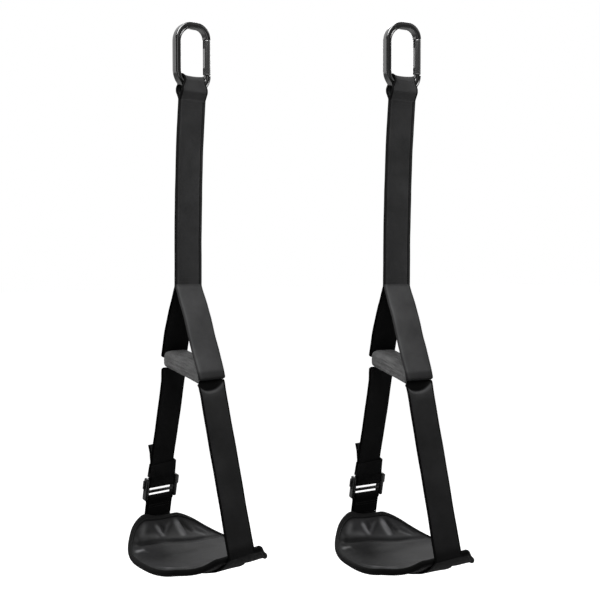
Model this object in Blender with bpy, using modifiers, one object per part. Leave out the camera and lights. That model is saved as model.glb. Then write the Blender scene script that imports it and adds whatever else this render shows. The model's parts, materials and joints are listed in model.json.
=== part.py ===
"""A pair of hanging ab straps, modelled piece by piece.

Each strap hangs from an oval carabiner.  Doubled webbing drops from the ring, parts into two legs that
turn in through a padded grip, and runs on to a curved arm pad.  The rear leg ends in a ladder buckle with
a folded tail and a keeper.

Every strap is modelled in its own frame: the origin is the inside top of its ring, X runs across the
webbing, -Y is the front leg's side and Z points up.  An empty then turns and places the whole strap.
"""

import math

import bmesh
import bpy
from mathutils import Matrix, Vector

# The two straps
STRAP_SPACING = 0.3408
RING_LINE_TURN = math.radians(-33.97)
STRAP_TURN = {"left": math.radians(5.83), "right": math.radians(-5.83)}
GAP = 0.0003

# Webbing
WEBBING_WIDTH = 0.050
WEBBING_THICKNESS = 0.0022
SEAM_DROP = 0.116
JUNCTION_DROP = 0.413
RUN_DROP = 0.5550
UPPER_CORNER_RADIUS = 0.0045
LOWER_CORNER_RADIUS = 0.0068
JUNCTION_STRAIGHT = 0.003

# How far the hanging webbing drifts off plumb: height, then the shift across it and the shift to the rear
DRIFT = (
    (-0.870, 0.0058, -0.0046),
    (-0.826, 0.0050, -0.0040),
    (-0.555, 0.0, 0.0),
    (-0.413, -0.0040, 0.0040),
    (-0.116, 0.0, 0.0),
)

# Carabiner ring
RING_INNER_WIDTH = 0.047
RING_INNER_HEIGHT = 0.091
ROD_WIDTH = 0.0105
ROD_DEPTH = 0.012
ROD_CORNER = 0.0023
GROOVE_WIDTH = 0.004
GROOVE_DEPTH = 0.0008
GROOVE_SLOPE = 0.0006
ARC_STEPS = 12

# Carabiner gate
GATE_RADIUS = 0.0064
GATE_STAND_OUT = 0.0004
GATE_OVERRUN_TOP = 0.0067
GATE_OVERRUN_BOTTOM = 0.004
GATE_END_BEVEL = 0.0022
GATE_PIVOT_RISE = 0.0055
SHOULDER_GAP_TOP = 0.001
SHOULDER_GAP_BOTTOM = 0.0016
TAB_THICKNESS = 0.004
TAB_RADIUS = 0.0044
TAB_SIDE_GAP = 0.0004
TAB_ROOT = 0.0035
HINGE_PIN_RADIUS = 0.0016
HINGE_PIN_PROUD = 0.0003
NOSE_WIDTH = 0.0056
NOSE_LENGTH = 0.0112
NOSE_OUTER_INSET = 0.0011
NOSE_ROOT = 0.0038
LATCH_PIN_RADIUS = 0.0015
LATCH_PIN_DROP = 0.0047
LATCH_PIN_INSET = 0.001
LATCH_PIN_RECESS = 0.0004
NOTCH_GAP = 0.0004
SLOT_FLOOR_GAP = 0.0015
SPRING_BORE_RADIUS = 0.003
SPRING_MEAN_RADIUS = 0.0022
SPRING_WIRE_RADIUS = 0.00038
SPRING_LENGTH = 0.018
SPRING_TURNS = 7
SPRING_POINTS_PER_TURN = 8
PLUNGER_HEAD_RADIUS = 0.0026
PLUNGER_HEAD_LENGTH = 0.0015
PLUNGER_STEM_RADIUS = 0.0019
PLUNGER_TIP_RADIUS = 0.0011

# Webbing fold round the ring
FOLD_SIDE_GAP = 0.003
FOLD_RUNNING_GAP = 0.001
FOLD_CLEARANCE = 0.0052
FOLD_DISH = 0.0015
FOLD_STEPS = 10
FOLD_COLUMNS = 6
FOLD_FULL_WIDTH_DROP = 0.012

# Padded grip
GRIP_LENGTH = 0.095
LEG_STAND_OFF = 0.0053
GRIP_WIDTH = 0.048
GRIP_HEIGHT = 0.0305
GRIP_RISE = 0.0078
GRIP_COVER_THICKNESS = 0.0016
GRIP_END_TAPER = 0.0012
GRIP_END_SLOPE = 0.37
GRIP_UPRIGHT_TO = 0.0005
GRIP_SIDES = 24
GRIP_ROWS = 6
GRIP_SLOT_GAP = 0.0006
GRIP_CORE_RECESS = 0.0015
FOLDED_WEBBING_WIDTH = 0.028
FOLDED_WEBBING_REACH = 0.004
GATHER_START = 0.0017
GATHER_LENGTH = 0.007

# Rear leg, adjuster and buckle, measured down the rear leg from the grip
LEG_TO_ADJUSTER = 0.185
TAIL_TOP = 0.147
ADJUSTER_OVERLAP = 0.010
KEEPER_TOP = 0.170
KEEPER_HEIGHT = 0.024
KEEPER_THICKNESS = 0.0014
KEEPER_SIDE_GAP = 0.0006
KEEPER_EASE = 0.0015
KEEPER_TRAVEL = 0.010
BUCKLE_TOP = 0.198
TAIL_FLARE = 0.007
BAR_THICKNESS = 0.004

# Buckle frame
BUCKLE_HEIGHT = 0.0415
BUCKLE_SIDE_GAP = 0.0008
BUCKLE_LUG = 0.0035
BUCKLE_LUG_HEIGHT = 0.013
BUCKLE_RAIL_WIDTH = 0.0062
BUCKLE_RAIL_DEPTH = 0.010
BUCKLE_CORNER = 0.003
RAIL_END_INSET = 0.0004
TOP_BAR_START = 0.004
TOP_BAR_END = 0.0152
THIN_BAR_START = 0.0248
THIN_BAR_END = 0.0286
ANCHOR_BAR_START = 0.0380

# Arm pad
PAD_HALF_LENGTH = 0.1185
PAD_CENTRE_Y = -0.004
PAD_SPREAD_POWER = 0.9
PAD_HALF_WIDTH = 0.106
PAD_END_HALF_WIDTH = 0.0465
PAD_SIDE_POWER = 2.25
PAD_CORNER = 0.018
PAD_SAG = 0.042
PAD_CURVE_POWER = 2.9
PAD_EDGE_RISE = 0.005
PAD_TILT = 0.042
PAD_END_DROP = 0.8257
PAD_ROWS = 20
PAD_COLUMNS = 10
LINING_THICKNESS = 0.0012
FOAM_EDGE = 0.0038
FOAM_MIDDLE = 0.009
FOAM_FLAT_EDGE = 0.009
FOAM_FULL_AT = 0.045
BINDING_THICKNESS = 0.0009
BINDING_COVER = 0.006
BINDING_GAP = 0.0004
BINDING_FACE_GAP = 0.0007
FOOT_ROWS = 4
RIM_REACH = 0.0038
ANCHOR_END_RISE = 0.004
ANCHOR_END_GAP = 0.0009

SEWN_THICKNESS = 2 * WEBBING_THICKNESS + GAP
LAYER_OFFSET = (WEBBING_THICKNESS + GAP) / 2
RING_RADIUS = RING_INNER_WIDTH / 2
ROD_RADIUS = RING_RADIUS + ROD_WIDTH / 2
TOP_ARC_Z = -RING_RADIUS
BOTTOM_ARC_Z = -(RING_INNER_HEIGHT - RING_RADIUS)
GATE_X = ROD_RADIUS + GATE_STAND_OUT
GATE_TOP = TOP_ARC_Z + GATE_OVERRUN_TOP
GATE_BOTTOM = BOTTOM_ARC_Z - GATE_OVERRUN_BOTTOM
PIVOT_Z = GATE_BOTTOM + GATE_PIVOT_RISE
LATCH_PIN_Z = GATE_TOP - LATCH_PIN_DROP
LATCH_PIN_X = GATE_X - LATCH_PIN_INSET
SLOT_HALF = TAB_THICKNESS / 2 + TAB_SIDE_GAP
RUN_Z = -RUN_DROP
UPPER_RUN_Z = RUN_Z + LAYER_OFFSET
LOWER_RUN_Z = RUN_Z - LAYER_OFFSET
GRIP_Z = RUN_Z + GRIP_RISE
CORNER_Y = GRIP_LENGTH / 2 + LEG_STAND_OFF
GRIP_INNER_Y = GRIP_LENGTH / 2 - FOLDED_WEBBING_REACH
BAR_OFFSET = WEBBING_THICKNESS + GAP + WEBBING_THICKNESS / 2 + GAP + BAR_THICKNESS / 2
ANCHOR_OFFSET = BAR_OFFSET - LAYER_OFFSET
BUCKLE_HALF_WIDTH = WEBBING_WIDTH / 2 + BUCKLE_SIDE_GAP + BUCKLE_RAIL_WIDTH
SKIN = LINING_THICKNESS + GAP
EDGE_STACK = FOAM_EDGE / 2 + SKIN
TAPE = BINDING_FACE_GAP + BINDING_THICKNESS

COLOURS = {
    "black_steel": ((0.020, 0.020, 0.022), 0.22, 0.9),
    "gate_steel": ((0.16, 0.16, 0.17), 0.38, 0.9),
    "pin_steel": ((0.25, 0.25, 0.26), 0.35, 1.0),
    "black_webbing": ((0.020, 0.020, 0.021), 0.85, 0.0),
    "grip_fabric": ((0.10, 0.10, 0.105), 0.95, 0.0),
    "foam": ((0.06, 0.06, 0.06), 0.95, 0.0),
    "buckle_plastic": ((0.012, 0.012, 0.013), 0.30, 0.0),
    "pad_leather": ((0.045, 0.045, 0.048), 0.45, 0.0),
    "binding_tape": ((0.010, 0.010, 0.010), 0.8, 0.0),
}


def clear_scene():
    """Remove what the file holds, so that the model stands alone."""
    for old in list(bpy.data.objects):
        bpy.data.objects.remove(old, do_unlink=True)


def new_collection(name):
    """Return a new collection linked to the scene."""
    made = bpy.data.collections.new(name)
    bpy.context.scene.collection.children.link(made)
    return made


def new_material(name):
    """Make the Principled material of one finish."""
    colour, roughness, metallic = COLOURS[name]
    made = bpy.data.materials.new(name)
    made.use_nodes = True
    shader = made.node_tree.nodes["Principled BSDF"]
    shader.inputs["Base Color"].default_value = (*colour, 1.0)
    shader.inputs["Roughness"].default_value = roughness
    shader.inputs["Metallic"].default_value = metallic
    made.diffuse_color = (*colour, 1.0)
    return made


class Bench:
    """Holds the collections and materials, and seats finished pieces on their empties."""

    def __init__(self):
        self.parts = new_collection("ab_straps")
        self.cutters = new_collection("cutters")
        self.materials = {name: new_material(name) for name in COLOURS}

    def empty(self, name, parent, location, turn=(0.0, 0.0, 0.0)):
        """Add an empty that carries pieces or marks a joint's axis."""
        made = bpy.data.objects.new(name, None)
        made.empty_display_size = 0.02
        made.location = location
        made.rotation_euler = turn
        made.parent = parent
        self.parts.objects.link(made)
        bpy.context.view_layer.update()
        return made

    def seat(self, name, mesh, finish, frame, carrier=None, flat=False):
        """Add a piece whose mesh is drawn in the frame empty's axes and which its carrier moves."""
        piece = bpy.data.objects.new(name, mesh)
        mesh.name = name
        mesh.materials.clear()
        mesh.materials.append(self.materials[finish])
        self.parts.objects.link(piece)
        carrier = carrier or frame
        piece.parent = carrier
        piece.matrix_parent_inverse = carrier.matrix_world.inverted() @ frame.matrix_world
        if not flat:
            mesh.shade_smooth()
            mesh.set_sharp_from_angle(angle=math.radians(35))
        return piece

    def cut(self, piece, cutter_mesh, operation="DIFFERENCE"):
        """Cut a piece by, or join it to, a mesh drawn in the same frame."""
        tool = bpy.data.objects.new(f"{piece.name}_cutter_{len(piece.modifiers)}", cutter_mesh)
        tool.parent = piece.parent
        tool.matrix_parent_inverse = piece.matrix_parent_inverse
        tool.hide_render = True
        tool.display_type = "WIRE"
        self.cutters.objects.link(tool)
        step = piece.modifiers.new(operation.lower(), "BOOLEAN")
        step.operation = operation
        step.solver = "EXACT"
        step.object = tool
        return step


def mesh_from(bm, name="shape"):
    """Turn a bmesh into a mesh and free it."""
    mesh = bpy.data.meshes.new(name)
    bm.to_mesh(mesh)
    bm.free()
    return mesh


def box_mesh(low, high):
    """A box between two corners."""
    bm = bmesh.new()
    bmesh.ops.create_cube(bm, size=1.0)
    low, high = Vector(low), Vector(high)
    for corner in bm.verts:
        corner.co = Vector(((low + high)[i] / 2 + corner.co[i] * (high - low)[i] for i in range(3)))
    return mesh_from(bm)


def cylinder_mesh(radius, start, end, sides=20):
    """A cylinder from one point to another."""
    start, end = Vector(start), Vector(end)
    bm = bmesh.new()
    bmesh.ops.create_cone(
        bm, cap_ends=True, segments=sides, radius1=radius, radius2=radius, depth=(end - start).length
    )
    turn = (end - start).to_track_quat("Z", "Y").to_matrix().to_4x4()
    bmesh.ops.transform(bm, matrix=Matrix.Translation((start + end) / 2) @ turn, verts=bm.verts)
    return mesh_from(bm)


def sheet_mesh(place, rows, columns, closed=False):
    """An open surface: place(along, across) gives each point, with both values from -1 to 1."""
    bm = bmesh.new()
    bmesh.ops.create_grid(bm, x_segments=columns, y_segments=rows, size=1.0)
    reach = max(abs(v.co.x) for v in bm.verts)
    for v in bm.verts:
        v.co = Vector(place(v.co.y / reach, v.co.x / reach))
    if closed:
        bmesh.ops.remove_doubles(bm, verts=bm.verts, dist=1e-6)
    bmesh.ops.recalc_face_normals(bm, faces=bm.faces)
    return mesh_from(bm)


def thicken(piece, thickness):
    """Give a sheet its thickness, half to each side."""
    wall = piece.modifiers.new("thickness", "SOLIDIFY")
    wall.thickness = thickness
    wall.offset = 0.0
    wall.use_even_offset = True
    wall.use_quality_normals = True
    return wall


def soften(piece, width, segments=1):
    """Round a piece's edges."""
    edge = piece.modifiers.new("edges", "BEVEL")
    edge.width = width
    edge.segments = segments
    edge.limit_method = "ANGLE"
    edge.angle_limit = math.radians(50)
    return edge


def rounded(corners, radius, steps=5):
    """A path through the corners, each inner corner turned on an arc of the radius."""
    points = [Vector(corners[0])]
    for before, here, after in zip(corners, corners[1:], corners[2:]):
        here = Vector(here)
        back = (Vector(before) - here).normalized()
        ahead = (Vector(after) - here).normalized()
        bend = math.pi - back.angle(ahead)
        if bend < math.radians(2):
            points.append(here)
            continue
        reach = radius * math.tan(bend / 2)
        centre = here + (back + ahead).normalized() * (radius / math.cos(bend / 2))
        first = here + back * reach - centre
        last = here + ahead * reach - centre
        for step in range(steps + 1):
            points.append(centre + first.slerp(last, step / steps).normalized() * radius)
    points.append(Vector(corners[-1]))
    return points


def drift(z):
    """How far the hanging webbing has moved across and to the rear at a height."""
    if z <= DRIFT[0][0]:
        return DRIFT[0][1:]
    for (low, x0, y0), (high, x1, y1) in zip(DRIFT, DRIFT[1:]):
        if z <= high:
            share = (z - low) / (high - low)
            return (x0 + (x1 - x0) * share, y0 + (y1 - y0) * share)
    return (0.0, 0.0)


def slab_mesh(top, bottom, rows, columns):
    """A closed body between two surfaces, each a function of two values from -1 to 1."""
    points = []
    for surface in (top, bottom):
        for i in range(rows + 1):
            for j in range(columns + 1):
                points.append(surface(2 * i / rows - 1, 2 * j / columns - 1))
    wide = columns + 1
    under = (rows + 1) * wide
    faces = []
    for i in range(rows):
        for j in range(columns):
            a = i * wide + j
            faces.append((a, a + 1, a + wide + 1, a + wide))
            faces.append((under + a, under + a + wide, under + a + wide + 1, under + a + 1))
    rim = [j for j in range(columns)] + [i * wide + columns for i in range(rows)]
    rim += [rows * wide + j for j in range(columns, 0, -1)] + [i * wide for i in range(rows, 0, -1)]
    for a, b in zip(rim, rim[1:] + rim[:1]):
        faces.append((a, under + a, under + b, b))
    mesh = bpy.data.meshes.new("slab")
    mesh.from_pydata([tuple(p) for p in points], [], faces)
    bm = bmesh.new()
    bm.from_mesh(mesh)
    bmesh.ops.recalc_face_normals(bm, faces=bm.faces)
    bm.to_mesh(mesh)
    bm.free()
    return mesh


def ribbon_mesh(path, widths, drifting=False):
    """A webbing surface along a path of (y, z) points, with a width for each point."""
    count = len(path) - 1

    def place(along, across):
        step = round((along + 1) / 2 * count)
        y, z = path[step]
        aside = drift(z)[0] if drifting else 0.0
        return (aside + across * widths[step] / 2, y, z)

    return sheet_mesh(place, count, 1)


def add_ribbon(bench, name, path, frame, carrier, widths=None, drifting=True):
    """Add a length of webbing that follows a path in the YZ plane."""
    mesh = ribbon_mesh(path, widths or [WEBBING_WIDTH] * len(path), drifting)
    piece = bench.seat(name, mesh, "black_webbing", frame, carrier)
    thicken(piece, WEBBING_THICKNESS)
    return piece


def flat_shape(name, outlines, depth):
    """A flat 2D curve with holes, drawn in XY and given a depth along Z, as a mesh."""
    curve = bpy.data.curves.new(name, "CURVE")
    curve.dimensions = "2D"
    curve.fill_mode = "BOTH"
    curve.extrude = depth / 2
    for outline in outlines:
        spline = curve.splines.new("POLY")
        spline.points.add(len(outline) - 1)
        for point, (x, y) in zip(spline.points, outline):
            point.co = (x, y, 0.0, 1.0)
        spline.use_cyclic_u = True
    return mesh_of_curve(curve)


def mesh_of_curve(curve):
    """The closed mesh of a curve object, which is then removed."""
    carrier = bpy.data.objects.new(curve.name, curve)
    bpy.context.scene.collection.objects.link(carrier)
    bpy.context.view_layer.update()
    graph = bpy.context.evaluated_depsgraph_get()
    mesh = bpy.data.meshes.new_from_object(carrier.evaluated_get(graph))
    bpy.data.objects.remove(carrier, do_unlink=True)
    bm = bmesh.new()
    bm.from_mesh(mesh)
    bmesh.ops.remove_doubles(bm, verts=bm.verts, dist=1e-6)
    bmesh.ops.recalc_face_normals(bm, faces=bm.faces)
    bm.to_mesh(mesh)
    bm.free()
    return mesh


def upright(mesh):
    """Turn a shape drawn in XY so that its Y becomes Z and its depth lies along Y."""
    mesh.transform(Matrix.Rotation(math.pi / 2, 4, "X"))
    return mesh


def arc_points(centre, radius, start, end, steps):
    """Points on an arc, angles in radians."""
    turns = [start + (end - start) * k / steps for k in range(steps + 1)]
    return [(centre[0] + radius * math.cos(a), centre[1] + radius * math.sin(a)) for a in turns]


def rounded_box(low, high, radius, steps=3):
    """The outline of a rectangle with round corners, counter-clockwise."""
    (x0, y0), (x1, y1) = low, high
    outline = []
    for (cx, cy), first in (
        ((x1 - radius, y0 + radius), -math.pi / 2),
        ((x1 - radius, y1 - radius), 0.0),
        ((x0 + radius, y1 - radius), math.pi / 2),
        ((x0 + radius, y0 + radius), math.pi),
    ):
        outline += arc_points((cx, cy), radius, first, first + math.pi / 2, steps)
    return outline


def rod_section():
    """The ring's forged section: round corners, with a shallow groove in the front and back faces."""
    half_w, half_d = ROD_WIDTH / 2, ROD_DEPTH / 2
    corner = arc_points((half_w - ROD_CORNER, half_d - ROD_CORNER), ROD_CORNER, 0.0, math.pi / 2, 3)
    groove = [
        (GROOVE_WIDTH / 2 + GROOVE_SLOPE, half_d),
        (GROOVE_WIDTH / 2, half_d - GROOVE_DEPTH),
    ]
    quarter = corner + groove
    left = [(-x, y) for x, y in reversed(quarter)]
    back = [(x, -y) for x, y in reversed(quarter + left)]
    return quarter + left + back


def ring_mesh():
    """The whole oval ring, its section swept round two arcs and two straight sides."""
    profile = bpy.data.curves.new("ring_section", "CURVE")
    profile.dimensions = "2D"
    spline = profile.splines.new("POLY")
    section = rod_section()
    spline.points.add(len(section) - 1)
    for point, (x, y) in zip(spline.points, section):
        point.co = (x, y, 0.0, 1.0)
    spline.use_cyclic_u = True
    profile_object = bpy.data.objects.new("ring_section", profile)
    bpy.context.scene.collection.objects.link(profile_object)

    path = arc_points((0.0, TOP_ARC_Z), ROD_RADIUS, 0.0, math.pi, ARC_STEPS)
    path += arc_points((0.0, BOTTOM_ARC_Z), ROD_RADIUS, math.pi, 2 * math.pi, ARC_STEPS)
    curve = bpy.data.curves.new("ring_path", "CURVE")
    curve.dimensions = "2D"
    curve.bevel_mode = "OBJECT"
    curve.bevel_object = profile_object
    track = curve.splines.new("POLY")
    track.points.add(len(path) - 1)
    for point, (x, z) in zip(track.points, path):
        point.co = (x, z, 0.0, 1.0)
    track.use_cyclic_u = True
    mesh = upright(mesh_of_curve(curve))
    bpy.data.objects.remove(profile_object, do_unlink=True)
    return mesh


def build_carabiner(bench, side, hanger):
    """The oval ring with its hinge tab and nose, and the sprung gate between them."""
    body = bench.seat(f"{side}_carabiner_body", ring_mesh(), "black_steel", hanger)
    shoulder_top = GATE_TOP + SHOULDER_GAP_TOP
    shoulder_bottom = GATE_BOTTOM - SHOULDER_GAP_BOTTOM
    opening = box_mesh((RING_RADIUS / 2, -ROD_DEPTH, shoulder_bottom), (2 * ROD_RADIUS, ROD_DEPTH, shoulder_top))
    bench.cut(body, opening)

    root = shoulder_bottom - TAB_ROOT
    tab = arc_points((GATE_X, PIVOT_Z), TAB_RADIUS, 0.0, math.pi, 8)
    tab += [(GATE_X - TAB_RADIUS, root), (GATE_X + TAB_RADIUS - 2 * GATE_STAND_OUT, root)]
    bench.cut(body, upright(flat_shape("tab", [tab], TAB_THICKNESS)), "UNION")
    pin_hole = cylinder_mesh(
        HINGE_PIN_RADIUS + GAP, (GATE_X, -ROD_DEPTH, PIVOT_Z), (GATE_X, ROD_DEPTH, PIVOT_Z), 16
    )
    bench.cut(body, pin_hole)

    nose_out = RING_RADIUS + ROD_WIDTH - NOSE_OUTER_INSET
    nose_in = nose_out - NOSE_WIDTH
    nose_end = shoulder_top - NOSE_LENGTH
    notch = arc_points(
        (LATCH_PIN_X, LATCH_PIN_Z), LATCH_PIN_RADIUS + NOTCH_GAP, math.pi / 2, -math.pi / 2, 6
    )
    nose = [(nose_in, shoulder_top + NOSE_ROOT), (nose_in, notch[0][1])] + notch
    nose += [(nose_in, notch[-1][1]), (nose_in, nose_end), (nose_out, nose_end)]
    nose += [(nose_out, shoulder_top + NOSE_ROOT)]
    bench.cut(body, upright(flat_shape("nose", [nose], TAB_THICKNESS)), "UNION")

    pivot = bench.empty(f"{side}_gate_pivot", hanger, (GATE_X, 0.0, PIVOT_Z))
    gate_mesh = cylinder_mesh(GATE_RADIUS, (GATE_X, 0.0, GATE_BOTTOM), (GATE_X, 0.0, GATE_TOP), 20)
    gate = bench.seat(f"{side}_carabiner_gate", gate_mesh, "gate_steel", hanger, pivot)
    soften(gate, GATE_END_BEVEL, 2)
    floor_bottom = PIVOT_Z + TAB_RADIUS + SLOT_FLOOR_GAP
    floor_top = nose_end - SLOT_FLOOR_GAP
    wide = 2 * GATE_RADIUS
    for low, high in ((GATE_BOTTOM - wide, floor_bottom), (floor_top, GATE_TOP + wide)):
        slot = box_mesh((GATE_X - wide, -SLOT_HALF, low), (GATE_X + wide, SLOT_HALF, high))
        bench.cut(gate, slot)
    spring_low = floor_bottom + PLUNGER_HEAD_LENGTH + GAP
    spring_top = spring_low + SPRING_LENGTH
    bore_top = spring_top + GAP + SPRING_WIRE_RADIUS
    bore = cylinder_mesh(
        SPRING_BORE_RADIUS, (GATE_X, 0.0, floor_bottom - GATE_RADIUS), (GATE_X, 0.0, bore_top), 12
    )
    bench.cut(gate, bore)
    for x, z, radius in ((GATE_X, PIVOT_Z, HINGE_PIN_RADIUS), (LATCH_PIN_X, LATCH_PIN_Z, LATCH_PIN_RADIUS)):
        hole = cylinder_mesh(radius + GAP, (x, -wide, z), (x, wide, z), 12)
        bench.cut(gate, hole)

    reach = GATE_RADIUS + HINGE_PIN_PROUD
    pin = cylinder_mesh(HINGE_PIN_RADIUS, (GATE_X, -reach, PIVOT_Z), (GATE_X, reach, PIVOT_Z), 12)
    bench.seat(f"{side}_gate_hinge_pin", pin, "pin_steel", hanger)
    reach = GATE_RADIUS - LATCH_PIN_RECESS
    latch = cylinder_mesh(
        LATCH_PIN_RADIUS, (LATCH_PIN_X, -reach, LATCH_PIN_Z), (LATCH_PIN_X, reach, LATCH_PIN_Z), 12
    )
    bench.seat(f"{side}_gate_latch_pin", latch, "pin_steel", hanger, pivot)
    build_gate_spring(bench, side, hanger, pivot, spring_low, spring_top)


def build_gate_spring(bench, side, hanger, pivot, low, top):
    """The coil spring in the gate's bore and the plunger that it presses on the hinge tab."""
    steps = SPRING_TURNS * SPRING_POINTS_PER_TURN
    first, last = low + GAP + SPRING_WIRE_RADIUS, top - SPRING_WIRE_RADIUS
    curve = bpy.data.curves.new("gate_spring", "CURVE")
    curve.dimensions = "3D"
    curve.bevel_depth = SPRING_WIRE_RADIUS
    curve.bevel_resolution = 1
    curve.use_fill_caps = True
    coil = curve.splines.new("POLY")
    coil.points.add(steps)
    for k, point in enumerate(coil.points):
        turn = 2 * math.pi * k / SPRING_POINTS_PER_TURN
        x = GATE_X + SPRING_MEAN_RADIUS * math.cos(turn)
        y = SPRING_MEAN_RADIUS * math.sin(turn)
        point.co = (x, y, first + (last - first) * k / steps, 1.0)
    bench.seat(f"{side}_gate_spring", mesh_of_curve(curve), "pin_steel", hanger, pivot)
    pitch = (last - first) / SPRING_TURNS
    print(f"{side} gate spring: least gap between turns {1000 * (pitch - 2 * SPRING_WIRE_RADIUS):.2f} mm")

    head, tip = low, PIVOT_Z + TAB_RADIUS + GAP
    turned = [
        (0.0, head),
        (PLUNGER_HEAD_RADIUS, head),
        (PLUNGER_HEAD_RADIUS, head - PLUNGER_HEAD_LENGTH),
        (PLUNGER_STEM_RADIUS, head - PLUNGER_HEAD_LENGTH),
        (PLUNGER_STEM_RADIUS, tip + PLUNGER_STEM_RADIUS - PLUNGER_TIP_RADIUS),
        (PLUNGER_TIP_RADIUS, tip),
        (0.0, tip),
    ]
    mesh = bpy.data.meshes.new("plunger")
    edges = [(k, k + 1) for k in range(len(turned) - 1)]
    mesh.from_pydata([(x, 0.0, z) for x, z in turned], edges, [])
    plunger = bench.seat(f"{side}_gate_plunger", mesh, "pin_steel", hanger, pivot, flat=True)
    plunger.location = (GATE_X, 0.0, 0.0)
    turning = plunger.modifiers.new("turned", "SCREW")
    turning.steps = turning.render_steps = 12
    turning.use_merge_vertices = True
    turning.merge_threshold = 1e-5


def build_hanging_webbing(bench, side, hanger, swing):
    """The fold round the ring and the sewn double strap below it."""
    layer_y = ROD_DEPTH / 2 + FOLD_RUNNING_GAP + WEBBING_THICKNESS / 2
    fold_width = min(WEBBING_WIDTH, 2 * (RING_RADIUS - FOLD_SIDE_GAP))
    half = fold_width / 2
    rest_z = BOTTOM_ARC_Z - math.sqrt(RING_RADIUS**2 - half**2)
    fold_z = rest_z - FOLD_CLEARANCE + GAP
    ring_bottom = BOTTOM_ARC_Z - RING_RADIUS - ROD_WIDTH
    part_z = ring_bottom - 2 * GAP
    front = [(-LAYER_OFFSET, -SEAM_DROP), (-LAYER_OFFSET, -SEAM_DROP + WEBBING_THICKNESS)]
    front += [(-layer_y, part_z), (-layer_y, fold_z)]
    down = rounded(front, 0.006, 3)
    fold = [
        Vector((-layer_y * math.cos(math.pi * k / FOLD_STEPS), fold_z + layer_y * math.sin(math.pi * k / FOLD_STEPS)))
        for k in range(1, FOLD_STEPS)
    ]
    path = down + fold + [Vector((-p.x, p.y)) for p in reversed(down)]
    count = len(path) - 1

    def place(along, across):
        y, z = path[round((along + 1) / 2 * count)]
        full = min(1.0, max(0.0, (fold_z - z) / FOLD_FULL_WIDTH_DROP))
        width = fold_width + (WEBBING_WIDTH - fold_width) * full
        dish = FOLD_DISH * (1 - across**2) * min(1.0, max(0.0, (z - part_z) / (fold_z - part_z)))
        return (across * width / 2, y, z - dish)

    loop = bench.seat(
        f"{side}_ring_loop", sheet_mesh(place, count, FOLD_COLUMNS), "black_webbing", hanger, swing
    )
    thicken(loop, WEBBING_THICKNESS)

    top, bottom = -SEAM_DROP - GAP, -JUNCTION_DROP
    half_w, half_t = WEBBING_WIDTH / 2, SEWN_THICKNESS / 2
    outline = rounded_box((-half_w, -half_t), (half_w, half_t), WEBBING_THICKNESS / 3)
    mesh = flat_shape("hanging_strap", [outline], top - bottom)
    mesh.transform(Matrix.Translation((0.0, 0.0, (top + bottom) / 2)))
    for corner in mesh.vertices:
        aside, rearward = drift(corner.co.z)
        corner.co.x += aside
        corner.co.y += rearward
    bench.seat(f"{side}_hanging_strap", mesh, "black_webbing", hanger, swing)


def gathered(path, sign):
    """Webbing widths along a path: gathered where it enters the grip, full a little way outside."""
    mouth = Vector((sign * GRIP_LENGTH / 2, RUN_Z))
    widths = []
    for point in path:
        outside = sign * point.x > GRIP_INNER_Y + GAP or abs(point.y - RUN_Z) > GATHER_LENGTH
        away = max(0.0, (point - mouth).length - GATHER_START) if outside else 0.0
        share = min(1.0, away / GATHER_LENGTH)
        widths.append(FOLDED_WEBBING_WIDTH + (WEBBING_WIDTH - FOLDED_WEBBING_WIDTH) * share)
    return widths


def grip_half_length(z):
    """Half the grip's length at a height: its ends lean in with the upper legs above the middle."""
    return GRIP_LENGTH / 2 - GRIP_END_SLOPE * max(0.0, z - GRIP_Z - GRIP_UPRIGHT_TO)


def build_grip(bench, side, hanger, swing):
    """The folded webbing inside the grip, its foam core and its fabric cover."""
    run_half = GRIP_INNER_Y - GAP
    run = box_mesh(
        (-FOLDED_WEBBING_WIDTH / 2, -run_half, RUN_Z - SEWN_THICKNESS / 2),
        (FOLDED_WEBBING_WIDTH / 2, run_half, RUN_Z + SEWN_THICKNESS / 2),
    )
    webbing = bench.seat(f"{side}_grip_webbing", run, "black_webbing", hanger, swing)
    soften(webbing, WEBBING_THICKNESS / 4)

    def oval(turn, shrink):
        """A point of the grip's section, fuller than an ellipse at its corners."""
        c, s = math.cos(turn), math.sin(turn)
        fat = (abs(c) ** 2.6 + abs(s) ** 2.6) ** (-1 / 2.6)
        return ((GRIP_WIDTH / 2 - shrink) * fat * c, GRIP_Z + (GRIP_HEIGHT / 2 - shrink) * fat * s)

    def cover_place(along, across):
        x, z = oval(math.pi * across, GRIP_COVER_THICKNESS / 2 + GRIP_END_TAPER * abs(along) ** 4)
        return (x, along * grip_half_length(z), z)

    cover_mesh = sheet_mesh(cover_place, GRIP_ROWS, GRIP_SIDES, closed=True)
    cover = bench.seat(f"{side}_grip_cover", cover_mesh, "grip_fabric", hanger, swing)
    thicken(cover, GRIP_COVER_THICKNESS)

    inset = GRIP_COVER_THICKNESS + GAP + GRIP_END_TAPER
    outline = [oval(2 * math.pi * k / GRIP_SIDES, inset) for k in range(GRIP_SIDES)]
    core_mesh = upright(flat_shape("grip_core", [outline], GRIP_LENGTH))
    for corner in core_mesh.vertices:
        corner.co.y = math.copysign(grip_half_length(corner.co.z) - GRIP_CORE_RECESS, corner.co.y)
    core = bench.seat(f"{side}_grip_core", core_mesh, "foam", hanger, swing)
    slot = box_mesh(
        (-FOLDED_WEBBING_WIDTH / 2 - GRIP_SLOT_GAP, -GRIP_LENGTH, GRIP_Z - GRIP_HEIGHT),
        (FOLDED_WEBBING_WIDTH / 2 + GRIP_SLOT_GAP, GRIP_LENGTH, RUN_Z + SEWN_THICKNESS / 2 + GRIP_SLOT_GAP),
    )
    bench.cut(core, slot)


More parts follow.
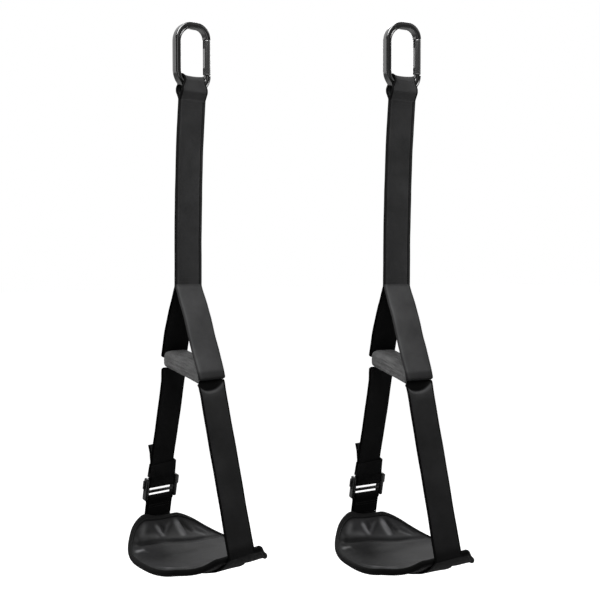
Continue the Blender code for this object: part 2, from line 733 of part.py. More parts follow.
def pad_half_width(y):
    """Half the pad's width at a distance from its middle: widest there, with rounded end corners."""
    share = min(1.0, abs(y) / PAD_HALF_LENGTH)
    t = share ** (1 / PAD_SPREAD_POWER)
    full = PAD_HALF_WIDTH - (PAD_HALF_WIDTH - PAD_END_HALF_WIDTH) * t**PAD_SIDE_POWER
    into = max(0.0, abs(y) - (PAD_HALF_LENGTH - PAD_CORNER))
    return full - PAD_CORNER + math.sqrt(max(0.0, PAD_CORNER**2 - into**2))


def pad_point(y, across, offset=0.0, beyond=0.0):
    """A point of the pad: y from its middle, across from -1 to 1, then moved off along the normal."""
    share = min(1.0, abs(y) / PAD_HALF_LENGTH)
    power = PAD_CURVE_POWER / PAD_SPREAD_POWER
    z = -PAD_END_DROP - PAD_SAG * (1 - share**power) + PAD_EDGE_RISE * across**2 + PAD_TILT * y
    slope = math.copysign(PAD_SAG * power * share ** (power - 1) / PAD_HALF_LENGTH, y) + PAD_TILT
    tangent = Vector((1.0, slope)).normalized()
    normal = Vector((-tangent.y, tangent.x))
    spot = Vector((PAD_CENTRE_Y + y, z)) + normal * offset + tangent * math.copysign(beyond, y)
    return Vector((drift(-PAD_END_DROP)[0] + across * pad_half_width(y), spot.x, spot.y))


def crowded(count, power):
    """Even steps from -1 to 1, crowded towards both ends."""
    steps = [2 * k / count - 1 for k in range(count + 1)]
    return [math.copysign(1 - (1 - abs(s)) ** power, s) for s in steps]


def pad_rows():
    """Distances of the pad's rows from its middle."""
    return [PAD_HALF_LENGTH * share for share in crowded(PAD_ROWS, 1.6)]


def pad_columns():
    """The pad's columns, as shares of its half width."""
    return crowded(PAD_COLUMNS, 1.43)


def foam_half(y, across):
    """Half the foam's thickness: thin and level at the edge, full in the middle."""
    inside = min((1 - abs(across)) * pad_half_width(y), PAD_HALF_LENGTH - abs(y))
    share = min(1.0, max(0.0, (inside - FOAM_FLAT_EDGE) / (FOAM_FULL_AT - FOAM_FLAT_EDGE)))
    smooth = share * share * (3 - 2 * share)
    return (FOAM_EDGE + (FOAM_MIDDLE - FOAM_EDGE) * smooth) / 2


def under_point(y, beyond=0.0):
    """A (y, z) point of the webbing that runs beneath the pad."""
    below = foam_half(y, 0.0) + SKIN + TAPE + GAP + WEBBING_THICKNESS / 2
    spot = pad_point(y, 0.0, -below, beyond)
    return Vector((spot.y, spot.z))


def leg_line(sign, offset):
    """Lean and length of a lower leg, from the grip's corner to the outside of the pad's rim."""
    rim = under_point(sign * PAD_HALF_LENGTH, RIM_REACH)
    away = (rim.x * sign - CORNER_Y, LOWER_RUN_Z - rim.y)
    length = math.sqrt(away[0] ** 2 + away[1] ** 2 - offset**2)
    return math.atan2(away[0], away[1]) - math.atan2(offset, length), length


def leg_turn(lean):
    """The turn of a frame whose Z axis points up the rear leg, off-plumb drift included."""
    (low, x0, _), (high, x1, _) = DRIFT[1], DRIFT[2]
    down = Vector(((x0 - x1) / (high - low) * math.cos(lean), math.sin(lean), -math.cos(lean)))
    up = -down.normalized()
    along = (Vector((1.0, 0.0, 0.0)) - up * up.x).normalized()
    return Matrix((along, up.cross(along), up)).transposed().to_euler()


def build_legs(bench, side, hanger, swing):
    """The two upper legs, the front lower leg down to the pad and the rear lower leg to the adjuster."""
    rearward = drift(-JUNCTION_DROP)[1]
    for name, sign in (("front", -1), ("rear", 1)):
        corners = [
            (rearward + sign * LAYER_OFFSET, -JUNCTION_DROP - GAP),
            (rearward + sign * LAYER_OFFSET, -JUNCTION_DROP - JUNCTION_STRAIGHT),
            (sign * CORNER_Y, UPPER_RUN_Z),
            (sign * GRIP_INNER_Y, UPPER_RUN_Z),
        ]
        path = rounded(corners, UPPER_CORNER_RADIUS)
        add_ribbon(bench, f"{side}_upper_leg_{name}", path, hanger, swing, gathered(path, sign))

    rows = pad_rows()
    rim = under_point(-PAD_HALF_LENGTH, RIM_REACH)
    corners = [(-GRIP_INNER_Y, LOWER_RUN_Z), (-CORNER_Y, LOWER_RUN_Z), rim]
    path = rounded(corners, LOWER_CORNER_RADIUS) + [under_point(y) for y in rows[: FOOT_ROWS + 1]]
    add_ribbon(bench, f"{side}_lower_leg_front", path, hanger, swing, gathered(path, -1))

    lean, _ = leg_line(1, ANCHOR_OFFSET)
    end = (CORNER_Y + LEG_TO_ADJUSTER * math.sin(lean), LOWER_RUN_Z - LEG_TO_ADJUSTER * math.cos(lean))
    corners = [(GRIP_INNER_Y, LOWER_RUN_Z), (CORNER_Y, LOWER_RUN_Z), end]
    path = rounded(corners, LOWER_CORNER_RADIUS)
    add_ribbon(bench, f"{side}_lower_leg_rear", path, hanger, swing, gathered(path, 1))


def buckle_outline():
    """The buckle's outline seen from the front, with lugs at its upper corners."""
    w, lug = BUCKLE_HALF_WIDTH, BUCKLE_HALF_WIDTH + BUCKLE_LUG
    r = BUCKLE_CORNER
    right = arc_points((w - r, -BUCKLE_HEIGHT + r), r, -math.pi / 2, 0.0, 3)
    right += [(w, -BUCKLE_LUG_HEIGHT - BUCKLE_LUG), (lug, -BUCKLE_LUG_HEIGHT)]
    right += arc_points((lug - r, -r), r, 0.0, math.pi / 2, 3)
    return right + [(-x, y) for x, y in reversed(right)]


def build_buckle(bench, side, leg, slide):
    """The ladder buckle: two deep side rails joined by a top bar, a thin bar and an anchor bar."""
    slot = BUCKLE_HALF_WIDTH - BUCKLE_RAIL_WIDTH
    openings = [
        rounded_box((-slot, -THIN_BAR_START), (slot, -TOP_BAR_END), 0.0012, 2),
        rounded_box((-slot, -ANCHOR_BAR_START), (slot, -THIN_BAR_END), 0.0012, 2),
    ]
    frame_mesh = upright(flat_shape("buckle", [buckle_outline()] + openings, BAR_THICKNESS))
    place = Matrix.Translation((0.0, BAR_OFFSET, -BUCKLE_TOP))
    frame_mesh.transform(place)
    frame = bench.seat(f"{side}_buckle_frame", frame_mesh, "buckle_plastic", leg, slide)
    mouth = box_mesh((-slot, -BUCKLE_HEIGHT, -TOP_BAR_START), (slot, BUCKLE_HEIGHT, BUCKLE_HEIGHT))
    mouth.transform(place)
    bench.cut(frame, mouth)
    half_d = BUCKLE_RAIL_DEPTH / 2
    low = (-half_d, -BUCKLE_HEIGHT + RAIL_END_INSET)
    high = (half_d, -RAIL_END_INSET)
    outline = rounded_box(low, high, BUCKLE_CORNER)
    for mirror in (-1, 1):
        rail = upright(flat_shape("rail", [outline], BUCKLE_RAIL_WIDTH - 2 * RAIL_END_INSET))
        rail.transform(Matrix.Rotation(math.pi / 2, 4, "Z"))
        rail.transform(Matrix.Translation((mirror * (BUCKLE_HALF_WIDTH - BUCKLE_RAIL_WIDTH / 2), 0.0, 0.0)))
        rail.transform(place)
        bench.cut(frame, rail, "UNION")


def build_adjuster(bench, side, hanger, swing):
    """The rear leg's end: webbing folded round the buckle's top bar, its tail, the keeper and the anchor."""
    lean, length = leg_line(1, ANCHOR_OFFSET)
    start = (0.0, CORNER_Y, LOWER_RUN_Z - BOTTOM_ARC_Z)
    leg = bench.empty(f"{side}_rear_leg_line", swing, start, leg_turn(lean))
    slide = bench.empty(f"{side}_adjuster_slide", leg, (0.0, BAR_OFFSET, -BUCKLE_TOP))
    keeper_slide = bench.empty(f"{side}_keeper_slide", slide, (0.0, 0.0, BUCKLE_TOP - KEEPER_TOP))

    inner_y = WEBBING_THICKNESS + GAP
    tail_y = inner_y + WEBBING_THICKNESS + GAP
    wrap = BAR_THICKNESS / 2 + GAP + WEBBING_THICKNESS / 2
    turn_z = -(BUCKLE_TOP + TOP_BAR_END)
    above = -(BUCKLE_TOP + TOP_BAR_START - GAP)
    down = [(inner_y, -(LEG_TO_ADJUSTER - ADJUSTER_OVERLAP)), (inner_y, turn_z)]
    fold = [
        (BAR_OFFSET - wrap * math.cos(a), turn_z - wrap * math.sin(a))
        for a in (math.pi * k / 6 for k in range(1, 6))
    ]
    back = [
        (BAR_OFFSET + wrap, turn_z),
        (BAR_OFFSET + wrap, above),
        (tail_y, -(KEEPER_TOP + KEEPER_HEIGHT + KEEPER_EASE)),
        (tail_y, -(KEEPER_TOP - KEEPER_TRAVEL - KEEPER_EASE)),
        (tail_y + TAIL_FLARE, -TAIL_TOP),
    ]
    path = [Vector(p) for p in down + fold] + rounded(back, 0.003, 2)
    add_ribbon(bench, f"{side}_adjuster_webbing", path, leg, slide, drifting=False)

    build_buckle(bench, side, leg, slide)

    low = (-WEBBING_WIDTH / 2 - KEEPER_SIDE_GAP, -WEBBING_THICKNESS / 2 - GAP)
    high = (WEBBING_WIDTH / 2 + KEEPER_SIDE_GAP, tail_y + WEBBING_THICKNESS / 2 + GAP)
    grow = KEEPER_THICKNESS
    inner = rounded_box(low, high, 0.0004, 1)
    outer = rounded_box((low[0] - grow, low[1] - grow), (high[0] + grow, high[1] + grow), 0.0016, 2)
    keeper_mesh = flat_shape("keeper", [outer, inner], KEEPER_HEIGHT)
    keeper_mesh.transform(Matrix.Translation((0.0, 0.0, -KEEPER_TOP - KEEPER_HEIGHT / 2)))
    bench.seat(f"{side}_keeper", keeper_mesh, "black_webbing", leg, keeper_slide)

    bar_top = -(BUCKLE_TOP + ANCHOR_BAR_START)
    bar_bottom = -(BUCKLE_TOP + BUCKLE_HEIGHT)
    side_path = [
        (BAR_OFFSET - LAYER_OFFSET, -length + ANCHOR_END_RISE),
        (BAR_OFFSET - LAYER_OFFSET, bar_bottom - wrap - WEBBING_THICKNESS),
        (BAR_OFFSET - wrap, bar_bottom - GAP),
        (BAR_OFFSET - wrap, bar_top),
    ]
    up = rounded(side_path, 0.003, 2)
    over = [
        Vector((BAR_OFFSET - wrap * math.cos(math.pi * k / 8), bar_top + wrap * math.sin(math.pi * k / 8)))
        for k in range(1, 8)
    ]
    path = up + over + [Vector((2 * BAR_OFFSET - p.x, p.y)) for p in reversed(up)]
    add_ribbon(bench, f"{side}_buckle_anchor", path, leg, slide, drifting=False)


def build_pad(bench, side, hanger, swing):
    """The arm pad: lining, foam and backing held by an edge binding, with webbing sewn beneath."""
    rows = pad_rows()
    columns = pad_columns()

    def surface(sign, extra):
        """The upper or lower face of a layer that lies a distance off the foam's own face."""

        def place(along, across):
            y = rows[round((along + 1) / 2 * PAD_ROWS)]
            u = columns[round((across + 1) / 2 * PAD_COLUMNS)]
            return pad_point(y, u, sign * (foam_half(y, u) + extra))

        return place

    layers = (
        ("pad_lining", surface(1, SKIN), surface(1, GAP), "pad_leather"),
        ("pad_foam", surface(1, 0.0), surface(-1, 0.0), "foam"),
        ("pad_backing", surface(-1, GAP), surface(-1, SKIN), "pad_leather"),
    )
    for name, top, bottom, finish in layers:
        bench.seat(f"{side}_{name}", slab_mesh(top, bottom, PAD_ROWS, PAD_COLUMNS), finish, hanger, swing)

    build_binding(bench, side, hanger, swing, rows)

    foot = under_point(rows[FOOT_ROWS])
    ahead = (under_point(rows[FOOT_ROWS + 1]) - foot).normalized()
    path = [foot + ahead * GAP] + [under_point(y) for y in rows[FOOT_ROWS + 1 :]]
    path.append(under_point(PAD_HALF_LENGTH, RIM_REACH))
    lean, _ = leg_line(1, ANCHOR_OFFSET)
    path.append(path[-1] + Vector((-math.sin(lean), math.cos(lean))) * (ANCHOR_END_RISE - ANCHOR_END_GAP))
    add_ribbon(bench, f"{side}_under_pad_webbing", path, hanger, swing)


def build_binding(bench, side, hanger, swing, rows):
    """The tape folded round the pad's edge, laid round the outline in one closed run."""
    right = [(1.0, y) for y in rows]
    left = [(-1.0, y) for y in reversed(rows)]
    ends = pad_columns()[1:-1]
    rear = [(-u, rows[-1]) for u in ends]
    front = [(u, rows[0]) for u in ends]
    edge = right + rear + left + front
    count = len(edge)
    flat = [Vector((u * pad_half_width(y), y)) for u, y in edge]
    lift = EDGE_STACK + BINDING_FACE_GAP + BINDING_THICKNESS / 2
    out = BINDING_GAP + BINDING_THICKNESS / 2
    profile = [(-BINDING_COVER, lift), (out, lift), (out, -lift), (-BINDING_COVER, -lift)]
    steps = len(profile) - 1

    def place(along, across):
        k = round((along + 1) / 2 * count) % count
        reach, height = profile[round((across + 1) / 2 * steps)]
        run = (flat[(k + 1) % count] - flat[k - 1]).normalized()
        spot = flat[k] + Vector((run.y, -run.x)) * reach
        y = max(-PAD_HALF_LENGTH, min(PAD_HALF_LENGTH, spot.y))
        here = pad_point(y, edge[k][0] if reach > 0 else spot.x / pad_half_width(y), height, abs(spot.y - y))
        here.x = drift(-PAD_END_DROP)[0] + spot.x
        return here

    mesh = sheet_mesh(place, count, steps, closed=True)
    binding = bench.seat(f"{side}_pad_binding", mesh, "binding_tape", hanger, swing)
    thicken(binding, BINDING_THICKNESS)


def build_strap(bench, side, along):
    """One whole strap, hung at a distance along the line between the rings and turned about its vertical."""
    spot = (along * math.cos(RING_LINE_TURN), along * math.sin(RING_LINE_TURN), 0.0)
    hanger = bench.empty(f"{side}_hanger", None, spot, (0.0, 0.0, STRAP_TURN[side]))
    swing = bench.empty(f"{side}_strap_pivot", hanger, (0.0, 0.0, BOTTOM_ARC_Z))
    build_carabiner(bench, side, hanger)
    build_hanging_webbing(bench, side, hanger, swing)
    build_legs(bench, side, hanger, swing)
    build_grip(bench, side, hanger, swing)
    build_adjuster(bench, side, hanger, swing)
    build_pad(bench, side, hanger, swing)


def main():
    """Build both straps."""
    clear_scene()
    bench = Bench()
    build_strap(bench, "left", -STRAP_SPACING / 2)
    build_strap(bench, "right", STRAP_SPACING / 2)


if __name__ == "__main__":
    main()
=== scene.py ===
"""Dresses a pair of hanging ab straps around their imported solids.

Every strap is drawn in its own axes: the origin is the inside top of its ring, X runs across the webbing,
-Y is the front leg's side and Z points up.  Place turns those points into the row's frame.  Lengths are in
metres.
"""

import json
import logging
import math
from dataclasses import dataclass, replace
from enum import Enum
from functools import cache
from typing import Protocol

import bmesh
import bpy
import numpy as np
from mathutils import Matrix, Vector

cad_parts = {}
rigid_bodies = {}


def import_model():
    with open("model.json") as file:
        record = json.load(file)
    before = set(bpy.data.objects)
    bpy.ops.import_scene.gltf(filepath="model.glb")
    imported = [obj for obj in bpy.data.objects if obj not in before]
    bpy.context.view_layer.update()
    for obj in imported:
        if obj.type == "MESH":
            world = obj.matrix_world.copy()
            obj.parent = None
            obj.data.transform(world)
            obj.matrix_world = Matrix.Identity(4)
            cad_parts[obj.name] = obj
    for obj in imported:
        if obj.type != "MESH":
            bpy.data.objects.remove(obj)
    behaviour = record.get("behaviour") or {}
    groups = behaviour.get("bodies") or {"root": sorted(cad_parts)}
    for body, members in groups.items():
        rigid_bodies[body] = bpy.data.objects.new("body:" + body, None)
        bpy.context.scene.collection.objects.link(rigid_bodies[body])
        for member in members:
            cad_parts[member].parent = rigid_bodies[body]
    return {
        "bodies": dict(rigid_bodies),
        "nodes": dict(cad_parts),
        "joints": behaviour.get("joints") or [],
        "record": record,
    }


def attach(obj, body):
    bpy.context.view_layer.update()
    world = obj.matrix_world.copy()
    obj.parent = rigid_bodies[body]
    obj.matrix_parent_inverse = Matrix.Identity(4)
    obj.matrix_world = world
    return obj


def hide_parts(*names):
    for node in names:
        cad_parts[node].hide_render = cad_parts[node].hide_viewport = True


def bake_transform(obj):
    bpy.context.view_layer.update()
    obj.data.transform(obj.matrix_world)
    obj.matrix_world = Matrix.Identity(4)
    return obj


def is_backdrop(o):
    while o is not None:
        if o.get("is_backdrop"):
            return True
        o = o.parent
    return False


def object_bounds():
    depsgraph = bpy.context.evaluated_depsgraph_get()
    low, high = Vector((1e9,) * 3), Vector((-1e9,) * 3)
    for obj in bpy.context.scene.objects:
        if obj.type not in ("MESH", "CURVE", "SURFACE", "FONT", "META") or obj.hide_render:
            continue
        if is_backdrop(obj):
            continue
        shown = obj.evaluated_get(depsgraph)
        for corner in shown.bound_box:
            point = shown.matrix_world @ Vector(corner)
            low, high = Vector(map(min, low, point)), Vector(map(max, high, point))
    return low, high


Array = np.ndarray
Pair = tuple[float, float]
Triple = tuple[float, float, float]
LOG = logging.getLogger("ab_straps")
ACROSS = np.linspace(-1.0, 1.0, 9)
QUARTER = math.pi / 2
SHARP = math.radians(42)
Material = bpy.types.Material
Node = bpy.types.Node
Object = bpy.types.Object
Socket = bpy.types.NodeSocket


class Side(Enum):
    """The two straps of the pair, with their place along the line between the rings."""

    LEFT = -1
    RIGHT = 1

    @property
    def word(self) -> str:
        """The word that starts this strap's names."""
        return self.name.lower()


# Shapes

@dataclass(frozen=True)
class Shell:
    """A closed surface: its points, its faces, where each point lies on the cloth, and the painted light and
    shade on it.
    """

    points: Array
    faces: list
    lie: Array
    # Painted highlight and shade, stored per point.
    rub: Array | None = None


def joined(shells: list[Shell]) -> Shell:
    """Put several closed surfaces into one.

    Args:
        shells: The surfaces to put together.

    Returns:
        One shell that holds them all.
    """
    starts = np.cumsum([0] + [len(s.points) for s in shells])
    faces = [tuple(int(start + k) for k in face) for s, start in zip(shells, starts) for face in s.faces]
    return Shell(np.concatenate([s.points for s in shells]), faces, np.concatenate([s.lie for s in shells]))


def tube(points: Array, lie: Array | None = None, loop: bool = False) -> Shell:
    """Close a grid of sections into a surface, whose ends are capped with rungs of quads.

    Args:
        points: Rows of section points (x, y, z), each row a closed outline.
        lie: Where each point lies on the cloth.
        loop: Whether the last row joins the first instead.

    Returns:
        The closed surface.
    """
    rows, columns = points.shape[:2]
    i, j = np.meshgrid(np.arange(rows if loop else rows - 1), np.arange(columns), indexing="ij")
    ahead, beside = (i + 1) % rows, (j + 1) % columns
    here, there = i * columns, ahead * columns
    faces = np.stack((here + j, here + beside, there + beside, there + j), -1).reshape(-1, 4).tolist()
    if not loop:
        k = np.arange(columns // 2 - 1)
        rungs = np.stack((k, k + 1, columns - 2 - k, columns - 1 - k), -1)
        faces += rungs.tolist() + (rungs + (rows - 1) * columns).tolist()
    if lie is None:
        lie = np.zeros((rows, columns, 2))
    return Shell(points.reshape(-1, 3), faces, lie.reshape(-1, 2))


def slab(top: Array, bottom: Array, lie: Array) -> Shell:
    """Close the space between two grids of points of the same shape, such as a pad's two faces."""
    points = np.concatenate((top, bottom[:, ::-1]), axis=1)
    return tube(points, np.concatenate((lie, lie[:, ::-1]), axis=1))


def stacked(*parts: Array | float) -> Array:
    """Points from their coordinates, each an array or one number for them all."""
    return np.stack(np.broadcast_arrays(*parts), -1)


def unit(vectors: Array) -> Array:
    """Vectors divided by their lengths."""
    return vectors / np.linalg.norm(vectors, axis=-1)[..., None]


def arc(centre: Pair, radius: Pair | float, start: float, end: float, count: int) -> Array:
    """Points round a centre: centre + radius (cos a, sin a), with a from start to end."""
    turn = np.linspace(start, end, count)
    return np.array(centre) + np.array(radius) * stacked(np.cos(turn), np.sin(turn))


def rounded_outline(half: Pair, radius: float, steps: int) -> Array:
    """A rectangle with round corners about the origin: four quarter circles joined by straight sides.

    Args:
        half: Half the width and half the height.
        radius: The corners' radius.
        steps: Steps on each corner.

    Returns:
        The outline's points, starting beside the right-hand side's middle.
    """
    across, up = half[0] - radius, half[1] - radius
    centres = ((across, up), (-across, up), (-across, -up), (across, -up))
    arcs = [arc(spot, radius, k * QUARTER, (k + 1) * QUARTER, steps + 1) for k, spot in enumerate(centres)]
    return np.concatenate(arcs)


def rounded_ends(half: float, edge: float, steps: int) -> tuple[Array, Array]:
    """Where a bar's sections stand and how far each draws in: edge - sqrt(edge^2 - (edge - distance)^2).

    Args:
        half: Half the bar's length.
        edge: The radius of its ends.
        steps: Steps on each end.

    Returns:
        The places along the bar and the insets.
    """
    turn = np.linspace(0.0, QUARTER, steps + 1)
    inset = edge * (1 - np.sin(turn))
    along = half - edge * (1 - np.cos(turn))
    return np.concatenate((-along, along[::-1])), np.concatenate((inset, inset[::-1]))


def rounded_bar(half: Triple, radius: float, edge: float, steps: int = 5) -> Shell:
    """A bar along its first axis, with round corners in its section and softened ends.

    Args:
        half: Half its length, and half its section's two sides.
        radius: The section's corner radius.
        edge: The radius that rounds its ends.
        steps: Steps on each rounding.

    Returns:
        The bar, centred on the origin.
    """
    stations, insets = rounded_ends(half[0], edge, steps)
    limits = np.array(half[1:])
    section = rounded_outline(half[1:], radius, steps)[None] * ((limits - insets[:, None]) / limits)[:, None]
    return tube(stacked(stations[:, None], section[..., 0], section[..., 1]))


def moved(shell: Shell, shift: Triple, order: tuple[int, int, int]) -> Shell:
    """Put a shell's axes in another order and move it."""
    return replace(shell, points=shell.points[:, order] + np.array(shift))


def turned_path(corners: list[Pair], radius: float, step: float = 0.002) -> Array:
    """A path in even steps through corners, with each inner corner turned on an arc.

    The arc's centre lies on the corner's bisector, radius / cos(bend / 2) from the corner.

    Args:
        corners: Points (y, z) of the path.
        radius: The radius of the turns.
        step: The distance between the points that come back.

    Returns:
        The path's points.
    """
    spots = np.array(corners, float)
    runs = [spots[:1]]
    for before, here, after in zip(spots, spots[1:], spots[2:]):
        back, ahead = unit(before - here), unit(after - here)
        bend = math.pi - math.acos(float(np.clip(back @ ahead, -1, 1)))
        if bend < math.radians(1):
            runs.append(here[None])
            continue
        centre = here + unit(back + ahead) * radius / math.cos(bend / 2)
        reach = radius * math.tan(bend / 2)
        first, last = here + back * reach - centre, here + ahead * reach - centre
        share = np.linspace(0, 1, 13)[:, None]
        swing = (np.sin((1 - share) * bend) * first + np.sin(share * bend) * last) / math.sin(bend)
        runs.append(centre + swing)
    runs.append(spots[-1:])
    return even_steps(np.concatenate(runs), step)


def path_lengths(path: Array) -> Array:
    """How far along a path each of its points lies."""
    return np.concatenate(([0.0], np.cumsum(np.linalg.norm(np.diff(path, axis=0), axis=1))))


def read_along(path: Array, wanted: Array, values: Array | None = None) -> Array:
    """Read a path's points, or other rows given at them, at distances along it.

    Args:
        path: The path's points.
        wanted: The distances.
        values: The rows, or None for the points themselves.

    Returns:
        One row for each distance.
    """
    lengths = path_lengths(path)
    rows = path if values is None else values
    return np.stack([np.interp(wanted, lengths, column) for column in rows.T], -1)


def even_steps(path: Array, step: float) -> Array:
    """The points of a path at even distances, about a step apart."""
    length = path_lengths(path)[-1]
    return read_along(path, np.linspace(0.0, length, max(2, int(round(length / step)) + 1)))


def turned_right(run: Array) -> Array:
    """The unit vectors at right angles to runs (y, z), on their right: (z, -y)."""
    return unit(np.stack((run[:, 1], -run[:, 0]), -1))


def path_normals(path: Array) -> Array:
    """The unit normals of a (y, z) path: a path that runs down has its normal towards -Y."""
    return turned_right(np.gradient(path, axis=0))


def eased(value: Array) -> Array:
    """A value from 0 to 1 eased at both ends: 3v^2 - 2v^3."""
    v = np.clip(value, 0.0, 1.0)
    return v * v * (3 - 2 * v)


# Webbing

@dataclass(frozen=True)
class Webbing:
    """Flat woven webbing with round selvedges."""

    width: float = 0.051
    thickness: float = 0.0022
    gap: float = 0.0003
    columns: int = 15
    edge_steps: int = 5

    @property
    def layer(self) -> float:
        """How far each of two sewn layers lies from the middle between them."""
        return (self.thickness + self.gap) / 2

    def section(self) -> tuple[Array, Array, Array]:
        """The closed outline of the cloth: both flat faces and a half circle at each selvedge.

        Returns:
            Each point's share of the flat half width, of the selvedge's radius and of half the thickness.
        """
        flat = np.linspace(-1, 1, self.columns)
        turn = np.linspace(QUARTER, -QUARTER, self.edge_steps + 2)[1:-1]
        ones, none, side = np.ones_like(flat), np.zeros_like(flat), np.ones_like(turn)
        lean = np.concatenate((flat, side, flat[::-1], -side))
        edge = np.concatenate((none, np.cos(turn), none, -np.cos(turn[::-1])))
        rise = np.concatenate((ones, np.sin(turn), -ones, np.sin(turn[::-1])))
        return lean, edge, rise

    def ribbon(
        self,
        path: Array,
        widths: Array | float | None = None,
        aside: Array | float = 0.0,
        lift: Array | None = None,
        start: float = 0.0,
        sink: Array | None = None,
    ) -> Shell:
        """A length of webbing carried along a path in the YZ plane.

        A point is the path's point, plus the share of the width along X, plus (half the thickness times
        the section's rise, and the lift) along the path's normal.

        Args:
            path: Points (y, z) of its middle line.
            widths: Its width at each point of the path.
            aside: How far its middle lies along X, at each point.
            lift: A row for each point: how far it rises off the path at even places across it.
            start: Where along the cloth the path starts.
            sink: How far it sinks straight down, given in the same way.

        Returns:
            The closed surface, whose lie is the distance across and along the cloth.
        """
        count = len(path)
        lean, edge, rise = self.section()
        half = np.broadcast_to(self.width if widths is None else widths, count)[:, None] / 2
        radius = self.thickness / 2
        across = lean[None] * (half - radius) + edge[None] * radius
        height = rise[None] * radius + spread_across(lift, across / half)
        spots = path[:, None] + path_normals(path)[:, None] * height[..., None]
        spots[..., 1] -= spread_across(sink, across / half)
        points = stacked(np.broadcast_to(aside, count)[:, None] + across, spots[..., 0], spots[..., 1])
        lie = stacked(lean[None] * (self.width / 2), (start + path_lengths(path))[:, None])
        return tube(points, lie)


def spread_across(values: Array | None, share: Array) -> Array:
    """Read values given at even places across the cloth, on straight lines between them.

    Args:
        values: A row of values for each point of the path, or None.
        share: Each point's share of the half width, from -1 to 1.

    Returns:
        The value at each point.
    """
    if values is None:
        return np.zeros_like(share)
    count = values.shape[1] - 1
    spot = np.clip((share + 1) / 2 * count, 0, count)
    low = np.minimum(spot.astype(int), count - 1)
    rows = np.arange(len(share))[:, None]
    part = spot - low
    return values[rows, low] * (1 - part) + values[rows, low + 1] * part


def ripple(path: Array, height: float, pitch: float, phase: float, fade: float = 0.03) -> Array:
    """The lift of webbing that isn't quite flat: two sines along it, whose phase shifts across it.

    Args:
        path: The webbing's middle line.
        height: The height of the longer wave.
        pitch: Its length.
        phase: Where it starts.
        fade: Over what length the ends are held flat.

    Returns:
        The lift at even places across each point.
    """
    s = path_lengths(path)
    turn = 2 * math.pi * s[:, None] / pitch
    wave = np.sin(turn + phase + 0.9 * ACROSS) + 0.6 * np.sin(turn / 0.37 + 2.1 * phase - 1.3 * ACROSS)
    ease = eased(s / fade) * eased((s[-1] - s) / fade)
    return height * wave * ease[:, None]


@dataclass(frozen=True)
class Stitching:
    """A run of sewn stitches, each a short round bead of thread half sunk in the cloth."""

    pitch: float = 0.0036
    length: float = 0.0029
    radius: float = 0.00034
    sides: int = 6
    rings: int = 4
    proud: float = 0.1
    look: float = 0.0005

    def bead(self) -> Shell:
        """One stitch along X: circles whose radius follows a half ellipse along its length."""
        turn = np.linspace(0, math.pi, self.rings + 2)[1:-1, None]
        around = np.linspace(0, 2 * math.pi, self.sides, endpoint=False) + math.pi / self.sides
        reach = np.sin(turn) ** 0.5 * self.radius
        height = reach * np.sin(around) + self.proud * self.radius
        return tube(stacked(-np.cos(turn) * self.length / 2, reach * np.cos(around), height))

    def run(self, line: Array, up: Array | Triple) -> Shell:
        """Stitches along a line, each turned along it and away from the cloth.

        Args:
            line: Points (x, y, z) that the seam follows.
            up: The cloth's outward normal, one for each point or one for them all.

        Returns:
            All stitches in one shell.
        """
        length = path_lengths(line)[-1]
        count = max(1, int(length / self.pitch))
        wanted = (np.arange(count) + 0.5) * length / count
        normal = unit(read_along(line, wanted, np.broadcast_to(up, line.shape)))
        ahead = read_along(line, wanted + self.look) - read_along(line, wanted - self.look)
        ahead = unit(ahead - (ahead * normal).sum(1)[:, None] * normal)
        bead = self.bead()
        axes = np.stack((ahead, np.cross(normal, ahead), normal), axis=1)
        points = read_along(line, wanted)[:, None] + bead.points @ axes
        size = len(bead.points)
        faces = (np.array(bead.faces)[None] + np.arange(count)[:, None, None] * size).reshape(-1, 4)
        return Shell(points.reshape(-1, 3), faces.tolist(), np.zeros((count * size, 2)))


# Finishes

class Tree:
    """A node tree that nodes are added to and linked in."""

    def __init__(self, tree: bpy.types.NodeTree) -> None:
        """Take up a tree."""
        self.tree = tree

    def add(self, kind: str, sockets: dict[int | str, object] | None = None, **settings: object) -> Node:
        """Add a node, set its own options and feed its sockets.

        Args:
            kind: The node's type.
            sockets: What goes into each input.
            settings: Its options by name.

        Returns:
            The new node.
        """
        node = self.tree.nodes.new(kind)
        for name, value in settings.items():
            setattr(node, name, value)
        for socket, source in (sockets or {}).items():
            self.feed(node, socket, source)
        return node

    def feed(self, node: Node, socket: int | str, source: object) -> None:
        """Link a socket to another node, or give it a plain value.

        Args:
            node: The node that is fed.
            socket: Its input's number or name.
            source: A node, whose first output is used, or an output, or a value.
        """
        if isinstance(source, Node):
            source = source.outputs[0]
        if isinstance(source, Socket):
            self.tree.links.new(source, node.inputs[socket])
        else:
            node.inputs[socket].default_value = source

    def math(self, operation: str, *values: object) -> Node:
        """A Math node on values or other nodes."""
        return self.add("ShaderNodeMath", dict(enumerate(values)), operation=operation)

    def vector(self, operation: str, *values: object) -> Node:
        """A Vector Math node on values or other nodes."""
        return self.add("ShaderNodeVectorMath", dict(enumerate(values)), operation=operation)

    def seen(self, rays: Node) -> Node:
        """1 for what the camera sees, also through glass, and 0 for the light on the object."""
        return self.math("MAXIMUM", rays.outputs["Is Camera Ray"], rays.outputs["Is Transmission Ray"])


